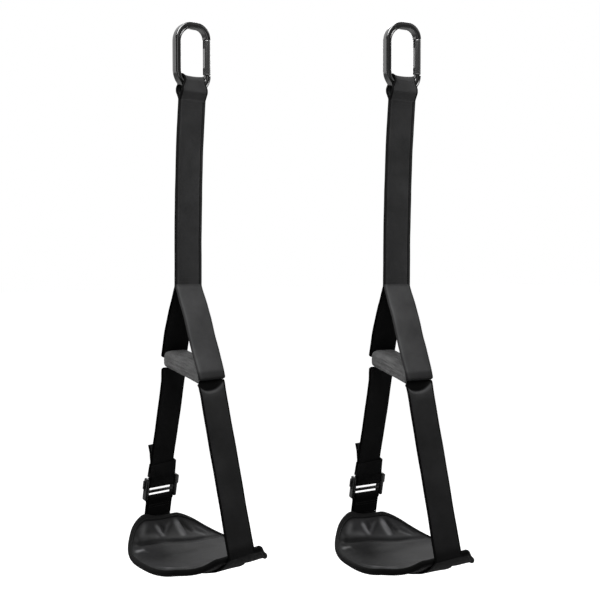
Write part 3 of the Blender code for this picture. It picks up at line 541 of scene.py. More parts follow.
class Nodes(Tree):
    """A material's node tree with its Principled shader."""

    def __init__(self, name: str) -> None:
        """Start a material."""
        self.material = bpy.data.materials.new(name)
        self.material.use_nodes = True
        super().__init__(self.material.node_tree)
        self.shader = self.tree.nodes["Principled BSDF"]

    def finished(self, sockets: dict[str, object], **values: object) -> Material:
        """Feed the shader and hand over the material.

        Args:
            sockets: What goes into each of the shader's linked inputs.
            values: Plain values of its other inputs, named with _ for a space.

        Returns:
            The material.
        """
        for socket, source in sockets.items():
            self.feed(self.shader, socket, source)
        for name, value in values.items():
            self.feed(self.shader, name.replace("_", " "), value)
        return self.material

    def rubbed(self, colour: Node) -> Node:
        """A colour, made lighter or darker by the painted light and shade stored on the mesh: colour (1 + the
        stored value).
        """
        rub = self.add("ShaderNodeAttribute", attribute_name="rub")
        level = self.math("ADD", rub.outputs["Fac"], 1.0)
        return self.add("ShaderNodeVectorMath", {0: colour, "Scale": level}, operation="SCALE")

    def weighted(self, *parts: tuple[object, float]) -> Node:
        """The sum of values, each times its weight.

        Args:
            parts: Each value or node with its weight.

        Returns:
            The node that holds the sum.
        """
        terms = [value if weight == 1 else self.math("MULTIPLY", value, weight) for value, weight in parts]
        total = terms[0]
        for term in terms[1:]:
            total = self.math("ADD", total, term)
        return total

    def wave(self, value: object, pitch: float) -> Node:
        """The sine of a distance, once round for each pitch."""
        return self.math("SINE", self.math("MULTIPLY", value, 2 * math.pi / pitch))

    def noise(self, vector: object, scale: float, detail: float, roughness: float = 0.5) -> Node:
        """A noise field on a vector."""
        sockets = {"Vector": vector, "Scale": scale, "Detail": detail, "Roughness": roughness}
        return self.add("ShaderNodeTexNoise", sockets)

    def ramp(self, value: object, *stops: tuple[float, float | Triple]) -> Node:
        """A colour ramp on a value.

        Args:
            value: What runs along the ramp.
            stops: Each stop's place and its colour, or its grey.

        Returns:
            The ramp.
        """
        node = self.add("ShaderNodeValToRGB", {0: value})
        elements = node.color_ramp.elements
        elements[0].position, elements[-1].position = stops[0][0], stops[-1][0]
        for place, _ in stops[1:-1]:
            elements.new(place)
        for element, (_, colour) in zip(elements, stops):
            element.color = (*(colour if isinstance(colour, tuple) else (colour,) * 3), 1.0)
        return node

    def range(self, value: object, low: float, high: float) -> Node:
        """A value from 0 to 1 spread from low to high."""
        return self.add("ShaderNodeMapRange", {"Value": value, "To Min": low, "To Max": high})

    def share(self, value: object, first: float, last: float) -> Node:
        """How far a value has come from first to last, from 0 to 1."""
        return self.add("ShaderNodeMapRange", {"Value": value, "From Min": first, "From Max": last})

    def bump(self, height: object, distance: float, strength: float, onto: object = None) -> Node:
        """A bump from a height field, on top of another where given."""
        sockets = {"Height": height, "Distance": distance, "Strength": strength}
        return self.add("ShaderNodeBump", sockets if onto is None else {**sockets, "Normal": onto})

    def place(self) -> Socket:
        """Object coordinates."""
        return self.add("ShaderNodeTexCoord").outputs["Object"]

    def cloth(self) -> tuple[Socket, Socket, Socket]:
        """Where a point lies on its cloth: the whole vector, the distance across and the distance along."""
        spread = self.add("ShaderNodeUVMap", uv_map="lie").outputs[0]
        parts = self.add("ShaderNodeSeparateXYZ", {0: spread})
        return spread, parts.outputs[0], parts.outputs[1]


class Weave(Enum):
    """How light each stretch of the same black webbing is painted: lighter where it faces the light, darker
    where it lies in shade.
    """

    # FOLD and OUTER are painted lighter where they face the light; SHADED and the darkest one are painted
    # shade.
    FOLD = 0.040
    HANGING = 0.030
    OUTER = 0.052
    LOWER = 0.018
    SHADED = 0.009
    DEEP = 0.0075


class Edges(Enum):
    """Painted highlight and shade across the webbing: (share of the width, share of the tone) from left to
    right.
    """

    # Painted shade on both rounded selvedges, with a painted highlight line inside the left one.
    DARK = (
        (0.0, 0.03), (0.050, 0.08), (0.070, 1.35), (0.095, 0.70),
        (0.120, 1.0), (0.950, 1.0), (0.970, 0.08), (1.0, 0.03),
    )
    # Painted shade on the left selvedge and in a groove by the right seam, with painted highlight lines
    # beside them.
    SEWN = (
        (0.0, 0.25), (0.035, 0.50), (0.070, 1.45), (0.105, 1.0), (0.855, 1.0),
        (0.882, 1.40), (0.898, 0.08), (0.930, 0.08), (0.950, 0.80), (1.0, 0.60),
    )
    # A painted highlight line inside the left selvedge, and painted shade on both selvedges.
    PALE = (
        (0.0, 0.50), (0.030, 1.0), (0.060, 1.42), (0.110, 1.10),
        (0.180, 1.0), (0.950, 1.0), (0.968, 0.60), (1.0, 0.60),
    )


class Finish(Protocol):
    """What a piece is dressed in."""

    def material(self) -> Material:
        """Make its material."""


@dataclass(frozen=True)
class WovenFinish:
    """Black woven webbing: a fine plain weave under a little fuzz, with painted shade on its selvedges and
    painted light along it.
    """

    # The tone, the edge levels and the stops along the cloth are painted light: lit stretches lighter, shaded
    # ones darker; the lean paints one side lighter.
    weave: Weave = Weave.HANGING
    edges: Edges = Edges.DARK
    wear: tuple[Pair, ...] = ()
    lean: float = 0.0
    half_width: float = 0.0255
    warp: float = 0.0011
    weft: float = 0.0013
    relief: float = 0.00022
    headroom: float = 1.5

    def tinted(self, nodes: Nodes, colour: Node, value: Socket, ends: Pair, stops: list[Pair]) -> Node:
        """A colour times a level that changes with a distance, by stops at shares of the way between ends."""
        return nodes.vector("MULTIPLY", colour, nodes.ramp(nodes.share(value, *ends), *stops))

    def material(self) -> Material:
        """The weave's height is |sin| of the warp, plus half the product of the warp's and weft's sines.

        The painted tone is tinted across the cloth with painted highlight and shade, by levels that are
        shares of the headroom since a ramp holds none over 1, and along it with painted shade and highlights
        where a stretch turns into a fold or lies in shade.

        Returns:
            The material.
        """
        words = ["webbing", self.weave.name.lower(), self.edges.name.lower()] + ["worn"] * bool(self.wear)
        nodes = Nodes("_".join(words))
        spread, across, along = nodes.cloth()
        weave = nodes.math("MULTIPLY", nodes.wave(across, self.warp), nodes.wave(along, self.weft))
        cords = nodes.math("ABSOLUTE", nodes.wave(across, 2 * self.warp))
        height = nodes.weighted((weave, 0.5), (cords, 1), (nodes.noise(spread, 900.0, 2.0), 0.5))
        patches = nodes.noise(nodes.place(), 22.0, 4.0, 0.6)
        shade = nodes.weighted((height, 0.22), (patches, 0.9))
        # The stretch's painted tone.
        tone = self.weave.value * self.headroom
        low = (tone * 0.5, tone * 0.5, tone * 0.51)
        high = (tone * 1.4, tone * 1.4, tone * 1.42)
        colour = nodes.ramp(shade, (0.25, low), (0.95, high))
        # Painted highlight and shade across the cloth, tilted by the lean so one side is lighter.
        levels = [(place, level * (1 + self.lean * (2 * place - 1))) for place, level in self.edges.value]
        levels = [(place, level / self.headroom) for place, level in levels]
        colour = self.tinted(nodes, colour, across, (-self.half_width, self.half_width), levels)
        # Painted shade and highlights along the cloth, where it turns into a fold or lies in shade.
        if self.wear:
            first, last = self.wear[0][0], self.wear[-1][0]
            levels = [((place - first) / (last - first), level) for place, level in self.wear]
            colour = self.tinted(nodes, colour, along, (first, last), levels)
        sockets = {
            "Base Color": colour,
            "Roughness": nodes.range(patches, 0.70, 0.88),
            "Normal": nodes.bump(height, self.relief, 0.7),
        }
        return nodes.finished(sockets, Specular_IOR_Level=min(0.16, 4.0 * self.weave.value))


@dataclass(frozen=True)
class GrainedFinish:
    """A plain surface under a fine grain, with smears in its tone and gloss; both are noise fields."""

    name: str
    stops: tuple[Pair, Pair]
    smears: Triple
    relief: Pair
    plain: tuple[tuple[str, float], ...]
    gloss: Pair | None = None
    grain: Triple | None = None
    stretch: Triple | None = None

    def material(self) -> Material:
        """The smears carry the tone and the gloss, and the grain, or else the smears, raises the surface."""
        nodes = Nodes(self.name)
        place = nodes.place()
        if self.stretch:
            place = nodes.add("ShaderNodeMapping", {0: place, "Scale": self.stretch})
        smears = nodes.noise(place, *self.smears)
        grain = nodes.noise(place, *self.grain) if self.grain else smears
        sockets = {"Base Color": nodes.ramp(smears, *self.stops), "Normal": nodes.bump(grain, *self.relief)}
        if self.gloss:
            sockets["Roughness"] = nodes.range(smears, *self.gloss)
        return nodes.finished(sockets, **dict(self.plain))


SEWING_THREAD = GrainedFinish(
    "sewing_thread", ((0.3, 0.0084), (0.7, 0.0238)), (2600.0, 2.0, 0.5), (0.0001, 0.6),
    (("Roughness", 0.55), ("Specular_IOR_Level", 0.35)),
)
COATED_STEEL = GrainedFinish(
    "black_coated_steel", ((0.3, 0.004), (0.75, 0.009)), (45.0, 4.0, 0.6), (0.00004, 0.25),
    (("Specular_IOR_Level", 0.5), ("IOR", 2.2)), gloss=(0.07, 0.16), grain=(900.0, 1.0, 0.5),
)
BRUSHED_STEEL = GrainedFinish(
    "satin_steel", ((0.3, 0.2024), (0.7, 0.2376)), (1800.0, 3.0, 0.5), (0.00001, 0.3),
    (("Metallic", 0.9),), gloss=(0.17, 0.24), stretch=(1.0, 1.0, 0.04),
)
PIN_STEEL = replace(
    BRUSHED_STEEL, name="bright_pin_steel", stops=((0.3, 0.276), (0.7, 0.324)), gloss=(0.25, 0.32)
)
BUCKLE_PLASTIC = GrainedFinish(
    "buckle_plastic", ((0.3, 0.006), (0.8, 0.014)), (60.0, 4.0, 0.5), (0.00005, 0.35),
    (("Specular_IOR_Level", 0.55),), gloss=(0.20, 0.36), grain=(1500.0, 2.0, 0.5),
)


@dataclass(frozen=True)
class KnitFinish:
    """The grip's cover: a grey knitted fabric laminated to its foam."""

    name: str = "grip_knit"
    tone: float = 0.118
    loop: float = 0.0016

    def material(self) -> Material:
        """The knit's height is the product of two sines, its loops, with fuzz on them."""
        nodes = Nodes(self.name)
        _, across, along = nodes.cloth()
        loops = nodes.math("MULTIPLY", nodes.wave(across, self.loop), nodes.wave(along, 0.8 * self.loop))
        height = nodes.weighted((loops, 0.5), (nodes.noise(nodes.place(), 1400.0, 3.0), 1))
        shade = nodes.weighted((height, 0.3), (nodes.noise(nodes.place(), 60.0, 4.0, 0.6), 0.7))
        colour = nodes.ramp(shade, (0.3, self.tone * 0.45), (0.8, self.tone * 1.5))
        sockets = {"Base Color": colour, "Normal": nodes.bump(height, 0.0003, 0.7)}
        return nodes.finished(
            sockets, Roughness=0.85, Specular_IOR_Level=0.25, Sheen_Weight=0.15, Sheen_Roughness=0.5
        )


@dataclass(frozen=True)
class LeatherFinish:
    """Soft black imitation leather with a pebbled grain."""

    name: str = "pad_leather"
    tone: float = 0.0245
    pebble: float = 0.0018

    def material(self) -> Material:
        """Grain is the distance to the nearest cell edge, with broad patches in tone and gloss, and the
        painted light and shade stored on the mesh.
        """
        nodes = Nodes(self.name)
        place = nodes.place()
        sockets = {"Vector": place, "Scale": 1 / self.pebble}
        cells = nodes.add("ShaderNodeTexVoronoi", sockets, feature="DISTANCE_TO_EDGE")
        grain = nodes.math("MINIMUM", cells.outputs["Distance"], 0.25)
        patches = nodes.noise(place, 16.0, 4.0, 0.6)
        soft = nodes.bump(nodes.noise(place, 130.0, 3.0, 0.6), 0.0006, 0.35)
        high = (self.tone * 1.35, self.tone * 1.35, self.tone * 1.4)
        sockets = {
            # Painted highlights and shade from the cushion's stored values.
            "Base Color": nodes.rubbed(nodes.ramp(patches, (0.3, self.tone * 0.7), (0.7, high))),
            "Roughness": nodes.range(patches, 0.40, 0.54),
            "Normal": nodes.bump(grain, 0.0005, 0.35, soft),
        }
        return nodes.finished(sockets, Specular_IOR_Level=0.5, IOR=1.11)


@dataclass(frozen=True)
class TapeFinish:
    """Ribbed cloth, such as the binding tape round the pad's edge."""

    name: str = "binding_tape"
    tone: float = 0.006
    rib: float = 0.0009

    def material(self) -> Material:
        """Ribs run across the tape, a sine of the distance along it."""
        nodes = Nodes(self.name)
        _, _, along = nodes.cloth()
        ribs = nodes.math("ABSOLUTE", nodes.wave(along, 2 * self.rib))
        height = nodes.weighted((ribs, 1), (nodes.noise(nodes.place(), 1500.0, 2.0), 0.6))
        colour = nodes.ramp(height, (0.2, self.tone * 0.5), (1.3, self.tone * 1.5))
        # Painted light from the tape's stored values: lighter at the rear, painted shade towards the front.
        sockets = {"Base Color": nodes.rubbed(colour), "Normal": nodes.bump(height, 0.00018, 0.6)}
        return nodes.finished(sockets, Roughness=0.75, Specular_IOR_Level=0.05)


@cache
def material_of(finish: Finish) -> Material:
    """The material of a finish, made once."""
    return finish.material()


# Places and pieces

@dataclass(frozen=True)
class Place:
    """Where one strap hangs in the row's frame."""

    side: Side
    spacing: float = 0.3408
    line_turn: float = math.radians(-33.97)
    strap_turn: float = math.radians(5.83)

    def to_row(self, points: Array) -> Array:
        """Turn a strap's points about its vertical and carry them to its ring.

        Args:
            points: Points (x, y, z) in the strap's own axes.

        Returns:
            The same points in the row's frame.
        """
        along = self.side.value * self.spacing / 2
        turn = -self.side.value * self.strap_turn
        c, s = math.cos(turn), math.sin(turn)
        spin = np.array(((c, -s, 0.0), (s, c, 0.0), (0.0, 0.0, 1.0)))
        shift = np.array((along * math.cos(self.line_turn), along * math.sin(self.line_turn), 0.0))
        return points @ spin.T + shift


@dataclass(frozen=True)
class Drift:
    """How far the hanging webbing has moved off plumb, in a gentle bow: rows of height, X and Y."""

    rows: tuple[Triple, ...] = (
        (-0.870, 0.0030, 0.0), (-0.826, 0.0022, 0.0), (-0.555, -0.0008, 0.0), (-0.500, -0.0036, 0.0036),
        (-0.413, -0.0054, 0.0054), (-0.340, -0.0052, 0.0052), (-0.260, -0.0043, 0.0043),
        (-0.190, -0.0028, 0.0028), (-0.140, -0.0010, 0.0010), (-0.116, 0.0, 0.0),
    )

    def aside(self, z: Array | float) -> Array:
        """The shift along X, on straight lines between the rows."""
        return np.interp(z, *np.array(self.rows).T[[0, 1]])

    def back(self, z: Array | float) -> Array:
        """The shift along Y, on straight lines between the rows."""
        return np.interp(z, *np.array(self.rows).T[[0, 2]])


def put_in_scene(name: str, data: bpy.types.ID) -> Object:
    """A new object in the scene's own collection."""
    made = bpy.data.objects.new(name, data)
    bpy.context.scene.collection.objects.link(made)
    return made


@dataclass(frozen=True)
class Shop:
    """What every sub-assembly needs to dress one strap."""

    place: Place
    webbing: Webbing = Webbing()
    drift: Drift = Drift()

    @property
    def word(self) -> str:
        """The word that starts this strap's names."""
        return self.place.side.word

    def piece(
        self, name: str, shell: Shell, body: str | None, finish: Finish, *nodes: str, slot: str = "webbing"
    ) -> Object:
        """Make a piece, dress it, and let it ride on its body.

        Args:
            name: Its name; here and below, names are without the strap's word.
            shell: Its surface in the strap's axes.
            body: The body that it rides on, or None for a piece that rides on none.
            finish: Its finish.
            nodes: The solids that it stands for.
            slot: The record's material slot; not used.

        Returns:
            The finished object.
        """
        made = put_in_scene(f"{self.word}_{name}", mesh_of(name, shell, self.place))
        made.data.materials.append(material_of(finish))
        if nodes:
            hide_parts(*(f"{self.word}_{node}" for node in nodes))
        if body:
            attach(made, body if body == "rings" else f"{self.word}_{body}")
        LOG.info("%s: %d faces", made.name, len(made.data.polygons))
        return made

    def node(self, name: str, slot: str, finish: Finish, frame: dict) -> None:
        """Give a solid that stays in sight a better finish.

        Args:
            name: The solid's name without the strap's word.
            slot: The record's material slot; not used.
            finish: Its finish.
        """
        solid = frame["nodes"][f"{self.word}_{name}"]
        solid.data.materials.clear()
        solid.data.materials.append(material_of(finish))
        LOG.info("%s: kept with a new finish", solid.name)

    def follow(self, piece: Object, start: Triple, end: Triple) -> None:
        """Turn a start on the strap's body and an end on the adjuster's into the row's frame, and bake the
        piece's transform into its mesh.
        """
        first, last = (tuple(spot) for spot in self.place.to_row(np.array((start, end))))
        f"{self.word}_strap"
        f"{self.word}_adjuster"
        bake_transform(piece)


def mesh_of(name: str, shell: Shell, place: Place) -> bpy.types.Mesh:
    """Put a shell into a mesh in the row's frame, with its faces turned outwards.

    Args:
        name: The mesh's name.
        shell: The surface in the strap's axes.
        place: Where the strap hangs.

    Returns:
        The mesh, which keeps the shell's lie as its UV map and its painted light and shade as an attribute.
    """
    mesh = bpy.data.meshes.new(name)
    mesh.from_pydata(place.to_row(shell.points).tolist(), [], shell.faces)
    layer = mesh.uv_layers.new(name="lie")
    corners = np.empty(len(mesh.loops), np.int32)
    mesh.loops.foreach_get("vertex_index", corners)
    layer.data.foreach_set("uv", shell.lie[corners].astype(np.float32).ravel())
    # The painted highlight and shade, kept as a point attribute.
    if shell.rub is not None:
        rub = mesh.attributes.new("rub", "FLOAT", "POINT")
        rub.data.foreach_set("value", shell.rub.astype(np.float32))
    work = bmesh.new()
    work.from_mesh(mesh)
    bmesh.ops.recalc_face_normals(work, faces=work.faces)
    work.to_mesh(mesh)
    work.free()
    mesh.shade_smooth()
    mesh.set_sharp_from_angle(angle=SHARP)
    return mesh


# Ring and gate

@dataclass(frozen=True)
class Bend:
    """One quarter of the ring's middle line: its centre (x, z), its radius, and where it starts and ends."""

    centre: Pair
    radius: float
    start: float
    end: float

    def sweep(self, offsets: Array, steps: int = 26) -> Array:
        """Section points carried round: (x, z) = centre + (r + offset) (cos a, sin a)."""
        turns = np.linspace(self.start, self.end, steps)[:, None]
        reach = self.radius + offsets[None]
        return stacked(self.centre[0] + reach * np.cos(turns), self.centre[1] + reach * np.sin(turns))

    def cut(self, offsets: Array, level: float) -> Array:
        """The same section cut level: x = cx + sqrt((r + offset)^2 - (level - cz)^2)."""
        x = self.centre[0] + np.sqrt((self.radius + offsets) ** 2 - (level - self.centre[1]) ** 2)
        return stacked(x[None], level)


@dataclass(frozen=True)
class Carabiner:
    """The ring, tighter in its bends on the gate's side, and the sprung gate in that side."""

    shop: Shop
    inner_radius: float = 0.0235
    inner_height: float = 0.091
    rod_width: float = 0.0105
    rod_depth: float = 0.012
    corner: float = 0.0023
    groove: float = 0.0042
    groove_depth: float = 0.0008
    groove_slope: float = 0.0007
    upper_bend: float = 0.0190
    lower_bend: float = 0.0232
    bend_start: float = 0.03
    mouth_top: float = -0.0139
    mouth_bottom: float = -0.0731
    bevel: float = 0.00035
    gate_x: float = 0.02915
    gate_radius: float = 0.0064
    gate_top: float = -0.0140
    gate_bottom: float = -0.0715
    gate_edge: float = 0.0022
    gate_sharp: float = 32.0
    pivot_z: float = -0.066
    slot_half: float = 0.0024
    slot_gap: float = 0.0015
    bore: Triple = (0.014, 0.003, 0.003)
    bore_rise: float = 0.0078
    tab: float = 0.004
    tab_radius: float = 0.0044
    tab_root: float = 0.0035
    tab_cut: float = 0.0008
    nose_in: float = 0.0273
    nose_out: float = 0.0329
    nose_root: float = 0.0038
    nose_end: float = -0.027
    latch: Pair = (0.02815, -0.0215)
    notch_radius: float = 0.0019

    def rod_section(self) -> Array:
        """The forged section: round corners, and a soft groove in its front and back faces.

        Returns:
            The outline's points.
        """
        half_w, half_d = self.rod_width / 2, self.rod_depth / 2
        corner = arc((half_w - self.corner, half_d - self.corner), self.corner, 0, QUARTER, 9)
        share = np.linspace(0, 1, 5)
        across = self.groove / 2 + self.groove_slope * (1 - share)
        quarter = np.concatenate((corner, stacked(across, half_d - self.groove_depth * eased(share))))
        upper = np.concatenate((quarter, quarter[::-1] * (-1, 1)))
        return np.concatenate((upper, upper[::-1] * (1, -1)))

    def bends(self) -> list[Bend]:
        """The four bends, from the gate's upper end round the closed side to its lower end.

        Returns:
            The bends in order, the first and last cut short by the gate's mouth.
        """
        wide = self.inner_radius + self.rod_width / 2
        top = self.rod_width / 2
        low = -self.inner_height - self.rod_width / 2
        upper = (wide - self.upper_bend, top - self.upper_bend)
        lower = (wide - self.lower_bend, low + self.lower_bend)
        first = math.asin((self.mouth_top - upper[1]) / self.upper_bend)
        last = 4 * QUARTER + math.asin((self.mouth_bottom - lower[1]) / self.lower_bend)
        return [
            Bend(upper, self.upper_bend, first + self.bend_start, QUARTER),
            Bend((0.0, top - wide), wide, QUARTER, 2 * QUARTER),
            Bend((0.0, low + wide), wide, 2 * QUARTER, 3 * QUARTER),
            Bend(lower, self.lower_bend, 3 * QUARTER, last - self.bend_start),
        ]

    def ring(self) -> Shell:
        """The rod carried round its four bends, and cut level at the gate's mouth.

        Returns:
            The open ring.
        """
        section = self.rod_section()
        offsets = section[:, 0]
        bends = self.bends()
        runs = [bends[0].cut(offsets, self.mouth_top)]
        runs += [bend.sweep(offsets) for bend in bends]
        runs.append(bends[-1].cut(offsets, self.mouth_bottom))
        flat = np.concatenate(runs)
        return tube(stacked(flat[..., 0], section[None, :, 1], flat[..., 1]))

    def plate(self, outline: Array) -> Shell:
        """A flat plate between the gate's cheeks, as thick as the tab.

        Args:
            outline: Its outline (x, z).

        Returns:
            The plate.
        """
        count = len(outline)
        sides = [stacked(outline[:, 0], y, outline[:, 1]) for y in (-self.tab / 2, self.tab / 2)]
        k = np.arange(count)
        ahead = (k + 1) % count
        faces = np.stack((k, ahead, ahead + count, k + count), -1).tolist()
        faces += [tuple(range(count)), tuple(range(count, 2 * count))]
        return Shell(np.concatenate(sides), faces, np.zeros((2 * count, 2)))

    def hinge_tab(self) -> Shell:
        """The tongue that carries the gate's pin, round at its end."""
        root = self.mouth_bottom - self.tab_root
        end = arc((self.gate_x, self.pivot_z), self.tab_radius, 0, math.pi, 17)
        foot = [(self.gate_x - self.tab_radius, root), (self.gate_x + self.tab_radius - self.tab_cut, root)]
        return self.plate(np.concatenate((end, foot)))

    def nose(self) -> Shell:
        """The hooked tongue that the closed gate's pin sits in.

        Returns:
            The plate, with a half-round notch in its inner side.
        """
        notch = arc(self.latch, self.notch_radius, QUARTER, -QUARTER, 11)
        root = self.mouth_top + self.nose_root
        before = [(self.nose_in, root), (self.nose_in, notch[0][1])]
        after = [(self.nose_in, notch[-1][1]), (self.nose_in, self.nose_end)]
        after += [(self.nose_out, self.nose_end), (self.nose_out, root)]
        return self.plate(np.concatenate((before, notch, after)))

    def gate_shell(self) -> Shell:
        """The gate before its slots: a round bar whose ends are rounded over.

        Returns:
            The bar.
        """
        stations, insets = rounded_ends((self.gate_top - self.gate_bottom) / 2, self.gate_edge, 6)
        around = np.linspace(0, 2 * math.pi, 64, endpoint=False)
        radii = (self.gate_radius - insets)[:, None]
        z = (self.gate_top + self.gate_bottom) / 2 + stations[:, None]
        return tube(stacked(self.gate_x + radii * np.cos(around), radii * np.sin(around), z))

    def cut_gate(self, gate: Object) -> None:
        """Cut the hinge slot, the nose slot and the spring's bore, then keep the result as plain mesh.

        Args:
            gate: The gate's object, which is changed.
        """
        wide = 2 * self.gate_radius
        floor_low = self.pivot_z + self.tab_radius + self.slot_gap
        floor_high = self.nose_end - self.slot_gap
        cutters = []
        for low, high in ((self.gate_bottom - wide, floor_low), (floor_high, self.gate_top + wide)):
            slot = rounded_bar(((high - low) / 2, wide, self.slot_half), 0.0002, 0.0002, 1)
            cutters.append((slot, (low + high) / 2))
        bore = rounded_bar(self.bore, self.bore[1] - 0.00001, 0.0001, 6)
        cutters.append((bore, floor_low + self.bore_rise))
        tools = []
        for shell, z in cutters:
            cutter = moved(shell, (self.gate_x, 0.0, z), (1, 2, 0))
            tools.append(put_in_scene("gate_cutter", mesh_of("gate_cutter", cutter, self.shop.place)))
            step = gate.modifiers.new("slot", "BOOLEAN")
            step.operation = "DIFFERENCE"
            step.solver = "EXACT"
            step.object = tools[-1]
        bpy.context.view_layer.update()
        graph = bpy.context.evaluated_depsgraph_get()
        finished = bpy.data.meshes.new_from_object(gate.evaluated_get(graph))
        gate.modifiers.clear()
        gate.data = finished
        finished.shade_smooth()
        finished.set_sharp_from_angle(angle=math.radians(self.gate_sharp))
        for tool in tools:
            bpy.data.objects.remove(tool, do_unlink=True)

    def build(self, frame: dict) -> None:
        """Make the ring and the gate, and dress the small steel parts.
        """
        shop = self.shop
        body = joined([self.ring(), self.hinge_tab(), self.nose()])
        ring = shop.piece("oval_ring", body, "rings", COATED_STEEL, "carabiner_body", slot="ring_steel")
        edge = ring.modifiers.new("edges", "BEVEL")
        edge.width = self.bevel
        edge.segments = 2
        edge.limit_method = "ANGLE"
        edge.angle_limit = math.radians(60)
        shell = self.gate_shell()
        gate = shop.piece("gate_sleeve", shell, "gate", BRUSHED_STEEL, "carabiner_gate", slot="gate_steel")
        self.cut_gate(gate)
        for name in ("gate_hinge_pin", "gate_latch_pin", "gate_spring", "gate_plunger"):
            shop.node(name, "pin_steel", PIN_STEEL, frame)


# Hanging webbing

@dataclass(frozen=True)
class HangingStrap:
    """The webbing folded round the ring and the sewn double strap below it."""

    shop: Shop
    seam_z: float = -0.116
    junction_z: float = -0.4132
    fold_width: float = 0.041
    fold_z: float = -0.0839
    fold_radius: float = 0.0081
    full_below: float = 0.014
    part_z: float = -0.1021
    dish: float = 0.0015
    curl: float = 0.011
    curl_from: float = 0.55
    seam_inset: float = 0.005
    seam_rows: tuple[float, ...] = (-0.1205, -0.1245, -0.4022, -0.4088)

    def loop(self) -> Shell:
        """The fold: up in front of the ring's bottom, over it on a half circle, and down behind it.

        Its middle dips by dish (1 - across^2) onto the ring's bend, and its front left selvedge curls by
        the square of the share past where it starts.

        Returns:
            The fold's webbing.
        """
        web = self.shop.webbing
        front = [
            (-web.layer, self.seam_z - 0.0001),
            (-web.layer, self.seam_z + web.thickness),
            (-self.fold_radius, self.part_z),
            (-self.fold_radius, self.fold_z),
        ]
        up = turned_path(front, 0.006, 0.0011)
        over = arc((0.0, self.fold_z), self.fold_radius, math.pi, 0, 22)[1:-1]
        path = np.concatenate((up, over, up[::-1] * (-1, 1)))
        y, z = path.T
        full = eased((self.fold_z - z) / self.full_below)
        widths = self.fold_width + (web.width - self.fold_width) * full
        high = np.clip((z - self.part_z) / (self.fold_z - self.part_z), 0, 1)
        top = np.clip((z - self.fold_z) / self.fold_radius, 0, 1)
        lift = self.dish * (1 - ACROSS[None] ** 2) * top[:, None]
        lift -= self.curl * ((y < 0) * high)[:, None] * np.clip(-ACROSS - self.curl_from, 0, 1)[None] ** 2
        return web.ribbon(path, widths, self.shop.drift.aside(z), lift)

    def layers(self) -> Shell:
        """The two sewn layers, following the drift off plumb and a shallow ripple.

        Returns:
            Both layers.
        """
        web, drift = self.shop.webbing, self.shop.drift
        z = np.append(np.arange(self.seam_z - 0.0002, self.junction_z, -0.003), self.junction_z)
        shells = []
        for sign in (-1, 1):
            path = stacked(drift.back(z) + sign * web.layer, z)
            lift = np.tile(ripple(path, 0.00022, 0.13, 1.0 + sign).mean(axis=1)[:, None], 2)
            shells.append(web.ribbon(path, None, drift.aside(z), lift, start=0.1))
        return joined(shells)

    def seams(self) -> Shell:
        """Two long seams near the selvedges, and rows across at the ring and the fork, on both faces.

        Returns:
            All the stitches.
        """
        web, drift = self.shop.webbing, self.shop.drift
        half = web.width / 2 - self.seam_inset
        z = np.linspace(self.seam_z - 0.004, self.junction_z + 0.006, 80)
        lines = [(drift.aside(z) + edge * half, z) for edge in (-1, 1)]
        lines += [(drift.aside(z) + np.linspace(-half, half, 12), np.full(12, z)) for z in self.seam_rows]
        shells = []
        for side in (-1, 1):
            for x, z in lines:
                line = stacked(x, drift.back(z) + side * (web.layer + web.thickness / 2), z)
                shells.append(Stitching().run(line, (0.0, side, 0.0)))
        return joined(shells)

    def build(self) -> None:
        """Make the fold, the strap and their seams."""
        shop = self.shop
        # The fold is painted lighter where it faces the light; the strap's lean paints one side lighter than
        # the other.
        shop.piece("ring_fold", self.loop(), "strap", WovenFinish(Weave.FOLD), "ring_loop")
        strap = WovenFinish(Weave.HANGING, Edges.SEWN, lean=0.12)
        shop.piece("double_strap", self.layers(), "strap", strap, "hanging_strap")
        shop.piece("strap_seams", self.seams(), "strap", SEWING_THREAD)


# Grip and legs

